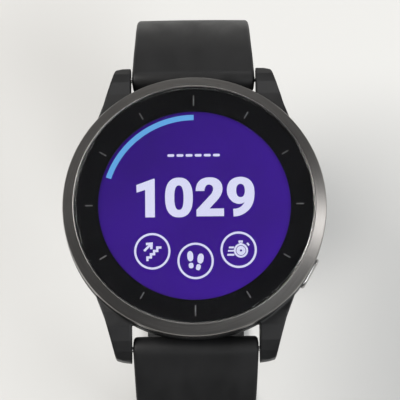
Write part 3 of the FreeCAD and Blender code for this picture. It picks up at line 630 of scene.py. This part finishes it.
def sensor_mat():
    s = Shader("sensor_black").set(Base_Color=(0.006, 0.006, 0.008), Roughness=0.06, Coat_Weight=0.5)
    smear = s.noise(0.25, 4.0, 0.6, None, 1.0)
    s.to("Roughness", s.span(smear, 0.04, 0.16))
    o = s.xyz()

    def window(cx, cy, bx, by, r):
        """1 inside a round-cornered window, 0 outside."""
        dx = s.math("MAXIMUM", s.math("SUBTRACT", s.math("ABSOLUTE", s.math("SUBTRACT", o[0], cx)), bx), 0.0)
        dy = s.math("MAXIMUM", s.math("SUBTRACT", s.math("ABSOLUTE", s.math("SUBTRACT", o[1], cy)), by), 0.0)
        d = s.math("POWER", s.math("ADD", s.math("MULTIPLY", dx, dx), s.math("MULTIPLY", dy, dy)), 0.5)
        return s.span(d, 1.0, 0.0, r - 0.04, r + 0.04)

    colour = (0.006, 0.006, 0.008)
    for cx, cy in ((5.2, 0.0), (-5.2, 0.0), (0.0, 5.2), (0.0, -5.2)):
        colour = s.mix(window(cx, cy, 0.75, 0.75, 0.55), colour, (0.030, 0.036, 0.060))
        colour = s.mix(window(cx, cy, 0.70, 0.70, 0.20), colour, (0.014, 0.016, 0.030))
    colour = s.mix(window(0.0, 0.0, 1.75, 0.75, 0.55), colour, (0.050, 0.055, 0.050))
    for cx in (-1.4, 0.0, 1.4):
        colour = s.mix(window(cx, 0.0, 0.30, 0.30, 0.16), colour, (0.16, 0.42, 0.15))
    s.to("Base Color", colour)
    return s.mat


SENSOR = sensor_mat()


def clear_spot(name, col, emit=0.0):
    s = Shader(name).set(Base_Color=col, Roughness=0.12, Coat_Weight=0.6, Emission_Color=col, Emission_Strength=emit)
    v = s.voronoi(5.0)
    s.to("Base Color", s.mix(s.span(v, 0.0, 1.0, 0.0, 0.6), tuple(c * 0.6 for c in col), tuple(min(1, c * 1.3) for c in col)))
    s.to("Roughness", s.span(s.noise(3.0), 0.08, 0.2))
    return s.mat


LED = clear_spot("led_green", (0.10, 0.42, 0.14))
PHOTO = clear_spot("photodiode", (0.035, 0.04, 0.07))


# ------------------------------------------------------------------ CAD nodes that stay: their materials
def dress(node, material, bevel=0.0, segments=2):
    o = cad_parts[node]
    o.data.materials.clear()
    o.data.materials.append(material)
    for p in o.data.polygons:
        p.material_index = 0
    if bevel:
        m = o.modifiers.new("rim", "BEVEL")
        m.width = bevel * MM
        m.segments = segments
        m.limit_method = "ANGLE"
        m.angle_limit = math.radians(40)
        m.harden_normals = False
        m.use_clamp_overlap = True


for node, material in (
    ("display_holder", HOLDER), ("display_flex", FLEX), ("main_board", BOARD), ("shield_cans", CAN), ("board_chips", CHIP),
    ("battery", FOIL), ("battery_tray", HOLDER), ("gps_antenna", COPPER), ("wireless_antenna", COPPER), ("pressure_vent", VENT),
    ("vibration_motor", MOTOR), ("vibration_rotor", TUNGSTEN), ("rear_seal", SEAL), ("sensor_baffle", HOLDER), ("sensor_board", BOARD),
    ("sensor_leds", LED), ("sensor_photodiodes", PHOTO), ("sensor_flex", FLEX), ("charge_contacts", GOLD),
    ("upper_button_seal", SEAL), ("lower_button_seal", SEAL), ("upper_button_clip", BARS), ("lower_button_clip", BARS),
    ("upper_switch_plunger", HOLDER), ("lower_switch_plunger", HOLDER), ("upper_switch", CAN), ("lower_switch", CAN),
    ("upper_spring_bar", BARS), ("lower_spring_bar", BARS), ("upper_release_pin", BARS), ("lower_release_pin", BARS),
    ("upper_bar_spring", BARS), ("lower_bar_spring", BARS), ("case_screws", BARS), ("charge_socket", HOLDER),
    ("rear_cover", REAR), ("display_module", CHIP),
):
    dress(node, material)

# ------------------------------------------------------------------ head: glass, bezel, dial
lathe(
    "cover_glass",
    [(0, 11.45), (20.45, 11.45), (20.45, 12.74), (0, 12.74)],
    GLASS,
    [0, 0.05, 0.22, 0],
    replaces=("cover_lens",),
)
lathe(
    "bezel",
    [
        (19.5, 10.85), (19.5, 11.2), (20.52, 11.2), (20.52, 12.62), (20.63, 12.8), (20.80, 12.8),
        (22.57, 11.45), (22.68, 11.20), (22.68, 9.7), (22.50, 9.5), (20.95, 9.5), (20.95, 10.85),
    ],
    STEEL,
    [0.05, 0.05, 0.03, 0.06, 0.05, 0.09, 0.22, 0.20, 0.12, 0.12, 0.05, 0.05],
    replaces=("bezel_ring",),
    sharp=40.0,
)
lathe(
    "dial_print",
    [(16.5, 11.38), (20.42, 11.38), (20.42, 11.445), (16.5, 11.445)],
    DIAL,
    0.0,
    replaces=("dial_mask", "lens_gasket"),
)
lathe("display_glass", [(0, 9.35), (17.6, 9.35), (17.6, 10.70), (0, 10.70)], CHIP, [0, 0.05, 0.05, 0], replaces=("display_module",))


def flat(name, loops, z, material, thick=0.012):
    """Filled 2-D outlines (holes by winding inside) at height z."""
    cu = bpy.data.curves.new(name, "CURVE")
    cu.dimensions = "2D"
    cu.fill_mode = "BOTH"
    for loop in loops:
        sp = cu.splines.new("POLY")
        sp.points.add(len(loop) - 1)
        for p, (x, y) in zip(sp.points, loop):
            p.co = (x, y, 0, 1)
        sp.use_cyclic_u = True
    tmp = bpy.data.objects.new(name + "_tmp", cu)
    bpy.context.scene.collection.objects.link(tmp)
    dg = bpy.context.evaluated_depsgraph_get()
    dg.update()
    mesh = bpy.data.meshes.new_from_object(tmp.evaluated_get(dg))
    bpy.data.objects.remove(tmp)
    bm = bmesh.new()
    bm.from_mesh(mesh)
    bmesh.ops.remove_doubles(bm, verts=bm.verts, dist=1e-5)
    got = bmesh.ops.extrude_face_region(bm, geom=list(bm.faces))
    for v in [g for g in got["geom"] if isinstance(g, bmesh.types.BMVert)]:
        v.co.z += thick
    for v in bm.verts:
        v.co = Vector(M((v.co.x, v.co.y, v.co.z + z)))
    bmesh.ops.recalc_face_normals(bm, faces=bm.faces)
    bm.to_mesh(mesh)
    bm.free()
    mesh.name = name
    obj = bpy.data.objects.new(name, mesh)
    bpy.context.scene.collection.objects.link(obj)
    obj.data.materials.clear()
    obj.data.materials.append(material)
    attach(obj, "watch_head", ())
    return obj


def circle(cx, cy, rx, ry=None, n=96, rot=0.0, power=2.0, cw=False):
    ry = ry or rx
    out = []
    for k in range(n):
        a = 2 * math.pi * k / n
        c, s = math.cos(a), math.sin(a)
        x = rx * math.copysign(abs(c) ** (2 / power), c)
        y = ry * math.copysign(abs(s) ** (2 / power), s)
        out.append((cx + x * math.cos(rot) - y * math.sin(rot), cy + x * math.sin(rot) + y * math.cos(rot)))
    return out[::-1] if cw else out


def spline(points, closed=True, steps=6):
    """Smooth outline through points (x, y[, "c"]). A point marked c is a corner."""
    n = len(points)
    P = [Vector((p[0], p[1])) for p in points]
    corner = [len(p) > 2 for p in points]
    out = []
    for i in range(n if closed else n - 1):
        j = (i + 1) % n
        p1, p2 = P[i], P[j]
        p0 = P[i - 1] if not corner[i] else p1 - (p2 - p1)
        p3 = P[(j + 1) % n] if not corner[j] else p2 + (p2 - p1)
        if corner[i] and corner[j]:
            out.append(tuple(p1))
            continue
        for k in range(steps):
            t = k / steps
            out.append(tuple(0.5 * ((2 * p1) + (p2 - p0) * t + (2 * p0 - 5 * p1 + 4 * p2 - p3) * t * t + (3 * p1 - p0 - 3 * p2 + p3) * t ** 3)))
    return out


def stroke(points, width):
    """A polyline given width with mitred joins, as a closed outline."""
    P = [Vector(p) for p in points]
    left, right = [], []
    for i, p in enumerate(P):
        if i == 0:
            d = (P[1] - p).normalized()
            n, k = Vector((-d.y, d.x)), 1.0
        elif i == len(P) - 1:
            d = (p - P[i - 1]).normalized()
            n, k = Vector((-d.y, d.x)), 1.0
        else:
            d0, d1 = (p - P[i - 1]).normalized(), (P[i + 1] - p).normalized()
            n0, n1 = Vector((-d0.y, d0.x)), Vector((-d1.y, d1.x))
            n = (n0 + n1).normalized()
            k = 1.0 / max(0.3, n.dot(n0))
        left.append(tuple(p + n * width / 2 * k))
        right.append(tuple(p - n * width / 2 * k))
    return left + right[::-1]


def rect(x0, x1, y0, y1, r=0.0, skew=0.0):
    pts = [(x0, y0), (x1, y0), (x1 + skew, y1), (x0 + skew, y1)]
    return round_corners(pts, r, 4) if r else pts


DZ = 10.715  # the lit layer


def D(loop):
    """From the display drawing's units to millimetres on the display."""
    return [((x - 660.0) / 58.55 - 0.12, (657.0 - y) / 57.3 - 0.07) for x, y in loop]


lathe("display_lit", [(0, 10.70), (16.56, 10.70), (16.56, 10.712), (0, 10.712)], SCREEN, 0.0)

one = [(268, 380), (268, 768), (172, 768), (172, 492), (86, 518), (83, 442), (256, 380)]
zero = circle(511, 571, 139, 199.5, 120, power=2.45)
zero_hole = circle(511, 573, 46.5, 123, 96, power=2.5, cw=True)
two = spline([
    (680, 508, "c"), (684, 470), (700, 428), (732, 394), (776, 376), (822, 371), (874, 378), (916, 402), (941, 438), (950, 480),
    (945, 520), (928, 560), (900, 598), (818, 686, "c"), (962, 686, "c"), (962, 763, "c"), (686, 763, "c"), (686, 698, "c"),
    (826, 550), (846, 520), (856, 490), (850, 464), (834, 449), (813, 444), (792, 450), (778, 468), (770, 492), (769, 508, "c"),
])
nine = spline([
    (1058, 768, "c"), (1055, 691, "c"), (1092, 687), (1126, 674), (1152, 651), (1172, 624, "c"), (1146, 637), (1108, 641), (1062, 627),
    (1022, 591), (999, 545), (994, 500), (1002, 452), (1028, 409), (1072, 380), (1130, 369), (1188, 379), (1234, 410), (1261, 456),
    (1271, 512), (1269, 570), (1258, 624), (1236, 672), (1202, 712), (1156, 744), (1108, 762),
])
nine_hole = circle(1131, 507, 43.5, 67, 72, power=2.3, cw=True)
flat("screen_digits", [D(one), D(zero), D(zero_hole), D(two), D(nine), D(nine_hole)], DZ, INK)

rings = []
for cx, cy in ((240, 1107), (672, 1207), (1104, 1100)):
    rings += [circle(cx, cy, 181.5, 181.5, 128), circle(cx, cy, 160.5, 160.5, 128, cw=True)]
flat("screen_icon_rings", [D(l) for l in rings], DZ, INK)
stairs = stroke([(191, 1204), (191, 1168), (226, 1168), (226, 1136), (258, 1136), (258, 1104), (290, 1104), (290, 1070), (332, 1070)], 23)
arrow = [stroke([(158, 1104), (226, 1038)], 23), [(176, 1022), (246, 1018), (243, 1086), (218, 1086), (219, 1045), (178, 1047)]]
feet = [
    circle(619, 1160, 30, 51, 48, rot=-0.07, power=2.3),
    circle(627, 1253, 24, 27, 40, rot=-0.1, power=2.6),
    circle(722, 1184, 31, 50, 48, rot=0.14, power=2.3),
    circle(699, 1270, 23, 30, 40, rot=0.25, power=2.6),
]
flat("screen_icon_stairs", [D(stairs)], DZ, INK)
flat("screen_icon_arrow_shaft", [D(arrow[0])], DZ, INK)
flat("screen_icon_arrow_head", [D(arrow[1])], DZ + 0.001, INK)
flat("screen_icon_feet", [D(l) for l in feet], DZ, INK)
timer = [circle(1127, 1108, 71, 71, 72), circle(1127, 1108, 52, 52, 64, cw=True), circle(1127, 1108, 46, 46, 64), circle(1127, 1108, 11, 11, 24, cw=True)]
flat("screen_icon_timer", [D(l) for l in timer], DZ, INK)
flat(
    "screen_icon_timer_parts",
    [D(rect(1103, 1147, 1008, 1030, 5)), D(rect(1116, 1134, 1026, 1042)), D([(1182, 1040), (1196, 1027), (1216, 1052), (1201, 1064)])],
    DZ + 0.001,
    INK,
)
flat(
    "screen_icon_speed_lines",
    [D(rect(1008, 1060, 1068, 1086, 4, -3)), D(rect(998, 1058, 1102, 1118, 4, -3)), D(rect(991, 1062, 1140, 1159, 4, -3))],
    DZ,
    INK,
)
# a plain row of segments fills the line above the digits
flat("screen_segments", [D(rect(398 + 92 * i, 398 + 92 * i + 70, 134, 160, 12)) for i in range(6)], DZ, INK)

arc = []
for k in range(61):
    a = math.radians(90.0 + 71.5 * k / 60)
    arc.append((16.02 * math.cos(a), 16.02 * math.sin(a)))
for k in range(60, -1, -1):
    a = math.radians(90.0 + 71.5 * k / 60)
    arc.append((15.08 * math.cos(a), 15.08 * math.sin(a)))
flat("screen_progress_arc", [arc], DZ, ARC)

ticks = []
for k in range(12):
    a = math.radians(30 * k)
    r0, r1 = 17.45, (19.3 if k in (3, 9) else 18.75)
    w = 0.10
    c, s = math.cos(a), math.sin(a)
    ticks.append([(r * c - t * s, r * s + t * c) for r, t in ((r0, -w), (r1, -w), (r1, w), (r0, w))])
flat("hour_marks", ticks, 11.4455, TICKS, 0.003)

# ------------------------------------------------------------------ head: mid case, softened from the frame's own solid
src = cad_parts["mid_case"]
mesh = src.data.copy()
case = bpy.data.objects.new("case_body", mesh)
bpy.context.scene.collection.objects.link(case)
mesh.materials.clear()
mesh.materials.append(POLY)
rm = case.modifiers.new("remesh", "REMESH")
rm.mode = "VOXEL"
rm.voxel_size = 0.14 * MM
sm = case.modifiers.new("smooth", "SMOOTH")
sm.factor = 0.5
sm.iterations = 6
baked(case, 60.0)
attach(case, "watch_head", ("mid_case",))

# ------------------------------------------------------------------ straps
def heading(a):
    r = math.radians(a)
    return (math.cos(r), -math.sin(r)), (math.sin(r), math.cos(r))


def trace(start, pieces):
    y, z, a = start
    out, s = [], 0.0
    for p in pieces:
        t, n = heading(a)
        if p[0] == "S":
            out.append(("S", (y, z), a, p[1], s))
            y, z, s = y + t[0] * p[1], z + t[1] * p[1], s + p[1]
        else:
            radius, end = p[1], p[2]
            c = (y - radius * n[0], z - radius * n[1])
            length = radius * math.radians(end - a)
            out.append(("A", c, a, end, radius, s, length))
            _, n2 = heading(end)
            y, z, a, s = c[0] + radius * n2[0], c[1] + radius * n2[1], end, s + length
    return out, (y, z, a, s)


def at(path, s):
    for seg in path:
        if seg[0] == "S" and seg[4] - 1e-6 <= s <= seg[4] + seg[3] + 1e-6:
            t, _ = heading(seg[2])
            d = s - seg[4]
            return (seg[1][0] + t[0] * d, seg[1][1] + t[1] * d), seg[2]
        if seg[0] == "A" and seg[5] - 1e-6 <= s <= seg[5] + seg[6] + 1e-6:
            a = seg[2] + math.degrees((s - seg[5]) / seg[4])
            _, n = heading(a)
            return (seg[1][0] + seg[4] * n[0], seg[1][1] + seg[4] * n[1]), a
    raise ValueError(s)


PY, PZ, LO_T, UP_T = 23.95, 4.8, 2.4, 2.6
UP, UP_END = trace((PY, PZ, 30.0), [("S", 3.0), ("A", 25.2, 100.0), ("A", 38.0, 150.0), ("S", 7.0)])
lead = [("S", 3.0), ("A", 25.2, 94.0), ("A", 150.0, 106.0)]
_, part_way = trace((PY, PZ, 30.0), lead)
run = (part_way[1] - 16.0 * (math.cos(math.radians(106.0)) + 1.0) + HZ - LO_T / 2) / math.sin(math.radians(106.0))
LO, LO_END = trace((PY, PZ, 30.0), lead + [("S", run), ("A", 16.0, 180.0), ("S", 27.5)])


def half_at(s, end):
    for s0, t0, s1, t1 in ((0.0, 4.56, 3.0, 4.15), (3.0, 4.15, 8.0, 3.8), (8.0, 3.8, 36.0, end + 0.2), (36.0, end + 0.2, 60.0, end)):
        if s <= s1:
            return (t0 + (t1 - t0) * (s - s0) / (s1 - s0)) / 2
    return end / 2


def strap(name, path, length, thick, side, tip_corner, body, replaces, step=0.7):
    """The strap's side outline, dense along its length, given its width and soft edges."""
    n = int(length / step)
    outer, inner = [], []
    for i in range(n + 1):
        s = length * i / n
        h = half_at(s, thick)
        (y, z), a = at(path, s)
        _, nn = heading(a)
        outer.append((y + h * nn[0], z + h * nn[1], s))
        inner.append((y - h * nn[0], z - h * nn[1], s))
    h0 = half_at(0.0, thick)
    root = []
    t0, n0 = heading(path[0][2])
    for k in range(1, 20):
        t = math.pi / 2 + math.pi * k / 20
        c, sn = math.cos(t), math.sin(t)
        root.append((PY + h0 * (c * t0[0] + sn * n0[0]), PZ + h0 * (c * t0[1] + sn * n0[1]), 0.0))
    (ey, ez), ea = at(path, length)
    te, ne = heading(ea)
    he = half_at(length, thick)
    tail = []
    if tip_corner:
        for k in range(1, 8):
            t = math.pi / 2 - math.pi * k / 8
            d = he * 0.55
            tail.append((ey - d * te[0] + d * math.cos(t) * te[0] + he * math.sin(t) * ne[0], ez - d * te[1] + d * math.cos(t) * te[1] + he * math.sin(t) * ne[1], length - d + d * math.cos(t)))
        outer = [p for p in outer if p[2] <= length - he * 0.55]
        inner = [p for p in inner if p[2] <= length - he * 0.55]
    else:
        for k in range(1, 16):
            t = math.pi / 2 - math.pi * k / 16
            tail.append((ey + he * (math.cos(t) * te[0] + math.sin(t) * ne[0]), ez + he * (math.cos(t) * te[1] + math.sin(t) * ne[1]), length))
    ring = outer + tail + inner[::-1] + root[::-1]
    pts = [(p[0] * side, p[1]) for p in ring]
    svals = [p[2] for p in ring]
    if area2(pts) < 0:
        pts.reverse()
        svals.reverse()

    def half_width(i, u, v):
        z = v
        w = 10.76 - 0.41 * min(1.0, max(0.0, (7.0 - z) / 6.0)) - 0.35 * min(1.0, max(0.0, (1.0 - z) / 19.0))
        if tip_corner:
            d = svals[i] - (length - tip_corner)
            if d > 0:
                w = w - tip_corner + math.sqrt(max(0.0, tip_corner ** 2 - min(d, tip_corner) ** 2))
        else:
            d = svals[i] - (length - 2.0)
            if d > 0:
                w -= 0.15 * d
        return w

    return rounded_prism(
        name, pts, 10.76, 0.58, lambda u, v, w: (w, u, v), SILICONE, steps=5, half_of=half_width,
        crown=lambda q: 0.10 * q * q, body=body, replaces=replaces, cols=6, sharp=40.0,
    )


def prism_cutter(name, outline, z0, z1, origin, angle):
    """Vertical prism of an (x, y) outline, turned about X and moved: used to cut holes."""
    ca, sa = math.cos(math.radians(angle)), math.sin(math.radians(angle))
    verts, n = [], len(outline)
    for z in (z0, z1):
        for x, y in outline:
            verts.append((x, origin[0] + y * ca - z * sa, origin[1] + y * sa + z * ca))
    faces = [tuple(range(n)), tuple(range(n, 2 * n))] + [(i, (i + 1) % n, n + (i + 1) % n, n + i) for i in range(n)]
    return make(name, verts, faces, SILICONE)


def stadium(half_w, half_l, n=12):
    pts = []
    for k in range(n + 1):
        t = math.pi * k / n
        pts.append((half_w * math.cos(t), half_l - half_w + half_w * math.sin(t)))
    for k in range(n + 1):
        t = math.pi + math.pi * k / n
        pts.append((half_w * math.cos(t), -(half_l - half_w) + half_w * math.sin(t)))
    return pts


lower = strap("strap_lower", LO, LO_END[3], LO_T, -1, 7.0, "lower_strap_group", ("lower_strap",))
cutters = []
for i in range(10):
    (hy, hz), ha = at(LO, LO_END[3] - 12.0 - i * 6.0)
    cutters.append(prism_cutter("hole_%d" % i, stadium(1.1, 1.7), -4, 4, (-hy, hz), ha))
cutters.append(cylinder("bore_l", (-14, -PY, PZ), (14, -PY, PZ), 0.8, SILICONE))
cutters.append(prism_cutter("notch_l", rect(5.3, 8.9, -0.85, 0.85, 0.4), -4, 0, (-PY, PZ), 0))
boolean(lower, cutters)

upper = strap("strap_upper", UP, UP_END[3], UP_T, 1, 0.0, "upper_strap_group", ("upper_strap",))
ey, ez, ea, es = UP_END
cutters = [
    cylinder("bore_u", (-14, PY, PZ), (14, PY, PZ), 0.8, SILICONE),
    cylinder("bore_b", (-14, ey, ez), (14, ey, ez), 0.64, SILICONE),
    prism_cutter("notch_u", rect(5.3, 8.9, -0.85, 0.85, 0.4), -4, 0, (PY, PZ), 0),
    prism_cutter("gap_u", rect(-1.5, 1.5, -2.6, 3.4, 0.5), -4, 4, (ey, ez), -ea),
]
boolean(upper, cutters)


# ------------------------------------------------------------------ buckle and keeper
def to_end(back=0.0):
    (y, z), a = at(UP, es - back)
    ca, sa = math.cos(math.radians(-a)), math.sin(math.radians(-a))

    def place(u, v, w):
        """(x, along the strap, out of its outer face) to the head's frame."""
        return (u, y + v * ca - w * sa, z + v * sa + w * ca)

    return place


E = to_end()
cylinder("buckle_bar_pin", E(-11.35, 0, 0), E(11.35, 0, 0), 0.6, BARS, 32, 0.08, "upper_strap_group", ("buckle_bar",))
reach, rise = 8.2, 1.9
arm = round_corners([(-1.35, -1.15), (0.6, -1.35), (4.2, -0.75), (reach + 0.9, rise - 0.95), (reach + 0.95, rise + 0.65), (reach + 0.2, rise + 0.8), (3.6, 1.15), (0.4, 1.3), (-1.1, 1.1)], 0.7, 4)
arm_l = rounded_prism("buckle_arm_l", arm, 0.7, 0.28, lambda u, v, w: E(-11.0 + w, u, v), BUCKLE, 3)
arm_r = rounded_prism("buckle_arm_r", arm, 0.7, 0.28, lambda u, v, w: E(11.0 + w, u, v), BUCKLE, 3)
cross = cylinder("buckle_cross", E(-11.5, reach, rise), E(11.5, reach, rise), 0.8, BUCKLE, 32, 0.2)
boolean(arm_l, [arm_r, cross], "UNION")
boolean(arm_l, [cylinder("bar_bore", E(-11.4, 0, 0), E(11.4, 0, 0), 0.64, BUCKLE)])
arm_l.name = "buckle_frame_steel"
attach(arm_l, "buckle_frame_group", ("buckle_frame",))
ang = math.atan2(rise, reach) + math.asin((0.8 + 0.475 + 0.05) / math.hypot(rise, reach))
ca, sa = math.cos(ang), math.sin(ang)
tongue = []
for k in range(25):
    t = ang + math.radians(25) + math.radians(310) * k / 24
    tongue.append((1.25 * math.cos(t), 1.25 * math.sin(t)))
for u, v in ((1.6, -0.475), (9.6, -0.475), (10.0, -0.40), (10.2, -0.1), (10.18, 0.15), (9.9, 0.44), (9.5, 0.475), (1.6, 0.475)):
    tongue.append((u * ca - v * sa, u * sa + v * ca))
tg = rounded_prism("buckle_tongue_steel", tongue, 0.78, 0.18, lambda u, v, w: E(w, u, v), BUCKLE, 3)
boolean(tg, [cylinder("tongue_bore", E(-3, 0, 0), E(3, 0, 0), 0.64, BUCKLE)])
attach(tg, "buckle_tongue_group", ("buckle_tongue",))

K = to_end(11.0)
kx, kb, ku, kt = 10.25, -1.6, 4.0, 1.3
ring_in = round_corners([(-kx, kb), (kx, kb), (kx, ku), (-kx, ku)], 0.5, 4)
ring_out = round_corners([(-kx - kt, kb - kt), (kx + kt, kb - kt), (kx + kt, ku + kt), (-kx - kt, ku + kt)], 1.7, 6)
keeper = rounded_prism("keeper_loop_rubber", ring_out, 3.0, 0.45, lambda u, v, w: K(u, w, v), SILICONE, 4, cols=1)
boolean(keeper, [rounded_prism("keeper_hole", ring_in, 4.0, 0.02, lambda u, v, w: K(u, w, v), SILICONE, 1)])
attach(keeper, "keeper_group", ("keeper_loop",))


# ------------------------------------------------------------------ buttons
def button(prefix, angle):
    c, s = math.cos(math.radians(angle)), math.sin(math.radians(angle))
    z = 6.7

    def place(u, v, w):
        """(across the button, up, out from the head's axis)."""
        return (w * c - u * s, w * s + u * c, z + v)

    mid, half = (21.9 + 23.1) / 2, (23.1 - 21.9) / 2
    out = []
    for k in range(17):
        t = -math.pi / 2 + math.pi * k / 16
        out.append((1.55 + 1.35 * math.cos(t), 1.35 * math.sin(t)))
    for k in range(17):
        t = math.pi / 2 + math.pi * k / 16
        out.append((-1.55 + 1.35 * math.cos(t), 1.35 * math.sin(t)))
    cap = rounded_prism(prefix + "_cap", out, half, (0.1, 0.38), lambda u, v, w: place(u, v, mid + w), BUTTON, 5)
    stem = cylinder(prefix + "_stem", place(0, 0, 18.35), place(0, 0, 22.2), 0.9, BARS, 32, 0.06)
    boolean(cap, [stem], "UNION")
    cap.name = prefix + "_button_cap"
    attach(cap, prefix + "_button_group", (prefix + "_button",))


button("upper", 29.8)
button("lower", -29.8)

# ------------------------------------------------------------------ back: sensor window with its clear spots
lathe(
    "sensor_glass",
    [(0, 0.0), (5.6, 0.0), (7.4, 0.16), (8.5, 0.42), (9.06, 0.85), (9.1, 1.68), (10.15, 1.68), (10.15, 2.28), (8.2, 2.28), (8.2, 1.2), (0, 1.2)],
    SENSOR,
    [0, 2.5, 1.2, 0.8, 0.1, 0.02, 0.02, 0.02, 0.02, 0.02, 0],
    replaces=("sensor_window",),
    sharp=50.0,
)

# ------------------------------------------------------------------ stage, light and camera
floor_mat = Shader("floor_pale").set(Base_Color=(0.62, 0.615, 0.60), Roughness=0.7)
fn = floor_mat.noise(0.02, 3.0, 0.5)
floor_mat.to("Roughness", floor_mat.span(fn, 0.62, 0.78))
me = bpy.data.meshes.new("floor")
R = 1.6
me.from_pydata([(-R, -R, 0), (R, -R, 0), (R, R, 0), (-R, R, 0)], [], [(0, 1, 2, 3)])
floor = bpy.data.objects.new("floor", me)
me.materials.append(floor_mat.mat)
bpy.context.scene.collection.objects.link(floor)


def softbox(name, loc, target, sx, sy, watts, colour=(1, 1, 1)):
    d = bpy.data.lights.new(name, "AREA")
    d.shape = "RECTANGLE"
    d.size, d.size_y = sx, sy
    d.energy = watts
    d.color = colour
    o = bpy.data.objects.new(name, d)
    o.location = loc
    o.rotation_euler = (Vector(target) - Vector(loc)).to_track_quat("-Z", "Y").to_euler()
    bpy.context.scene.collection.objects.link(o)
    return o


C = (0, 0, 0.06)
softbox("key", (-0.36, 0.16, 0.60), C, 0.36, 0.36, 5.0, (1.0, 0.98, 0.95))
softbox("fill", (0.34, -0.24, 0.56), C, 0.34, 0.34, 2.2, (0.95, 0.98, 1.0))
softbox("rim", (0.10, 0.56, 0.44), C, 0.44, 0.18, 1.3)
softbox("front", (0.0, -0.50, 0.60), C, 0.44, 0.18, 0.6)
softbox("side", (0.62, 0.02, 0.225), C, 0.18, 0.12, 0.50)
bpy.context.scene.view_settings.view_transform = "Standard"
world = bpy.data.worlds.new("studio")
bpy.context.scene.world = world
world.use_nodes = True
world.node_tree.nodes["Background"].inputs[0].default_value = (0.80, 0.82, 0.85, 1)
world.node_tree.nodes["Background"].inputs[1].default_value = 0.12

cam = bpy.data.objects.new("camera", bpy.data.cameras.new("camera"))
bpy.context.scene.collection.objects.link(cam)
bpy.context.scene.camera = cam
cam.data.sensor_width = 36.0
cam.data.lens = 195.0
ELEV, YAW, DIST = 78.0, -0.6, 0.370
centre = Vector((0.0, 0.0, (12.8 + HZ) * MM))
e, y0 = math.radians(ELEV), math.radians(YAW)
back = Vector((math.sin(y0) * math.cos(e), -math.cos(y0) * math.cos(e), math.sin(e)))
quat = (-back).to_track_quat("-Z", "Y")
right, up_v = quat @ Vector((1, 0, 0)), quat @ Vector((0, 1, 0))
cam.rotation_mode = "QUATERNION"
cam.rotation_quaternion = quat
cam.location = centre + back * DIST + right * (5.5 / 5.854 * MM) + up_v * (3.35 / 5.854 * MM)
cam.data.clip_start, cam.data.clip_end = 0.01, 10.0
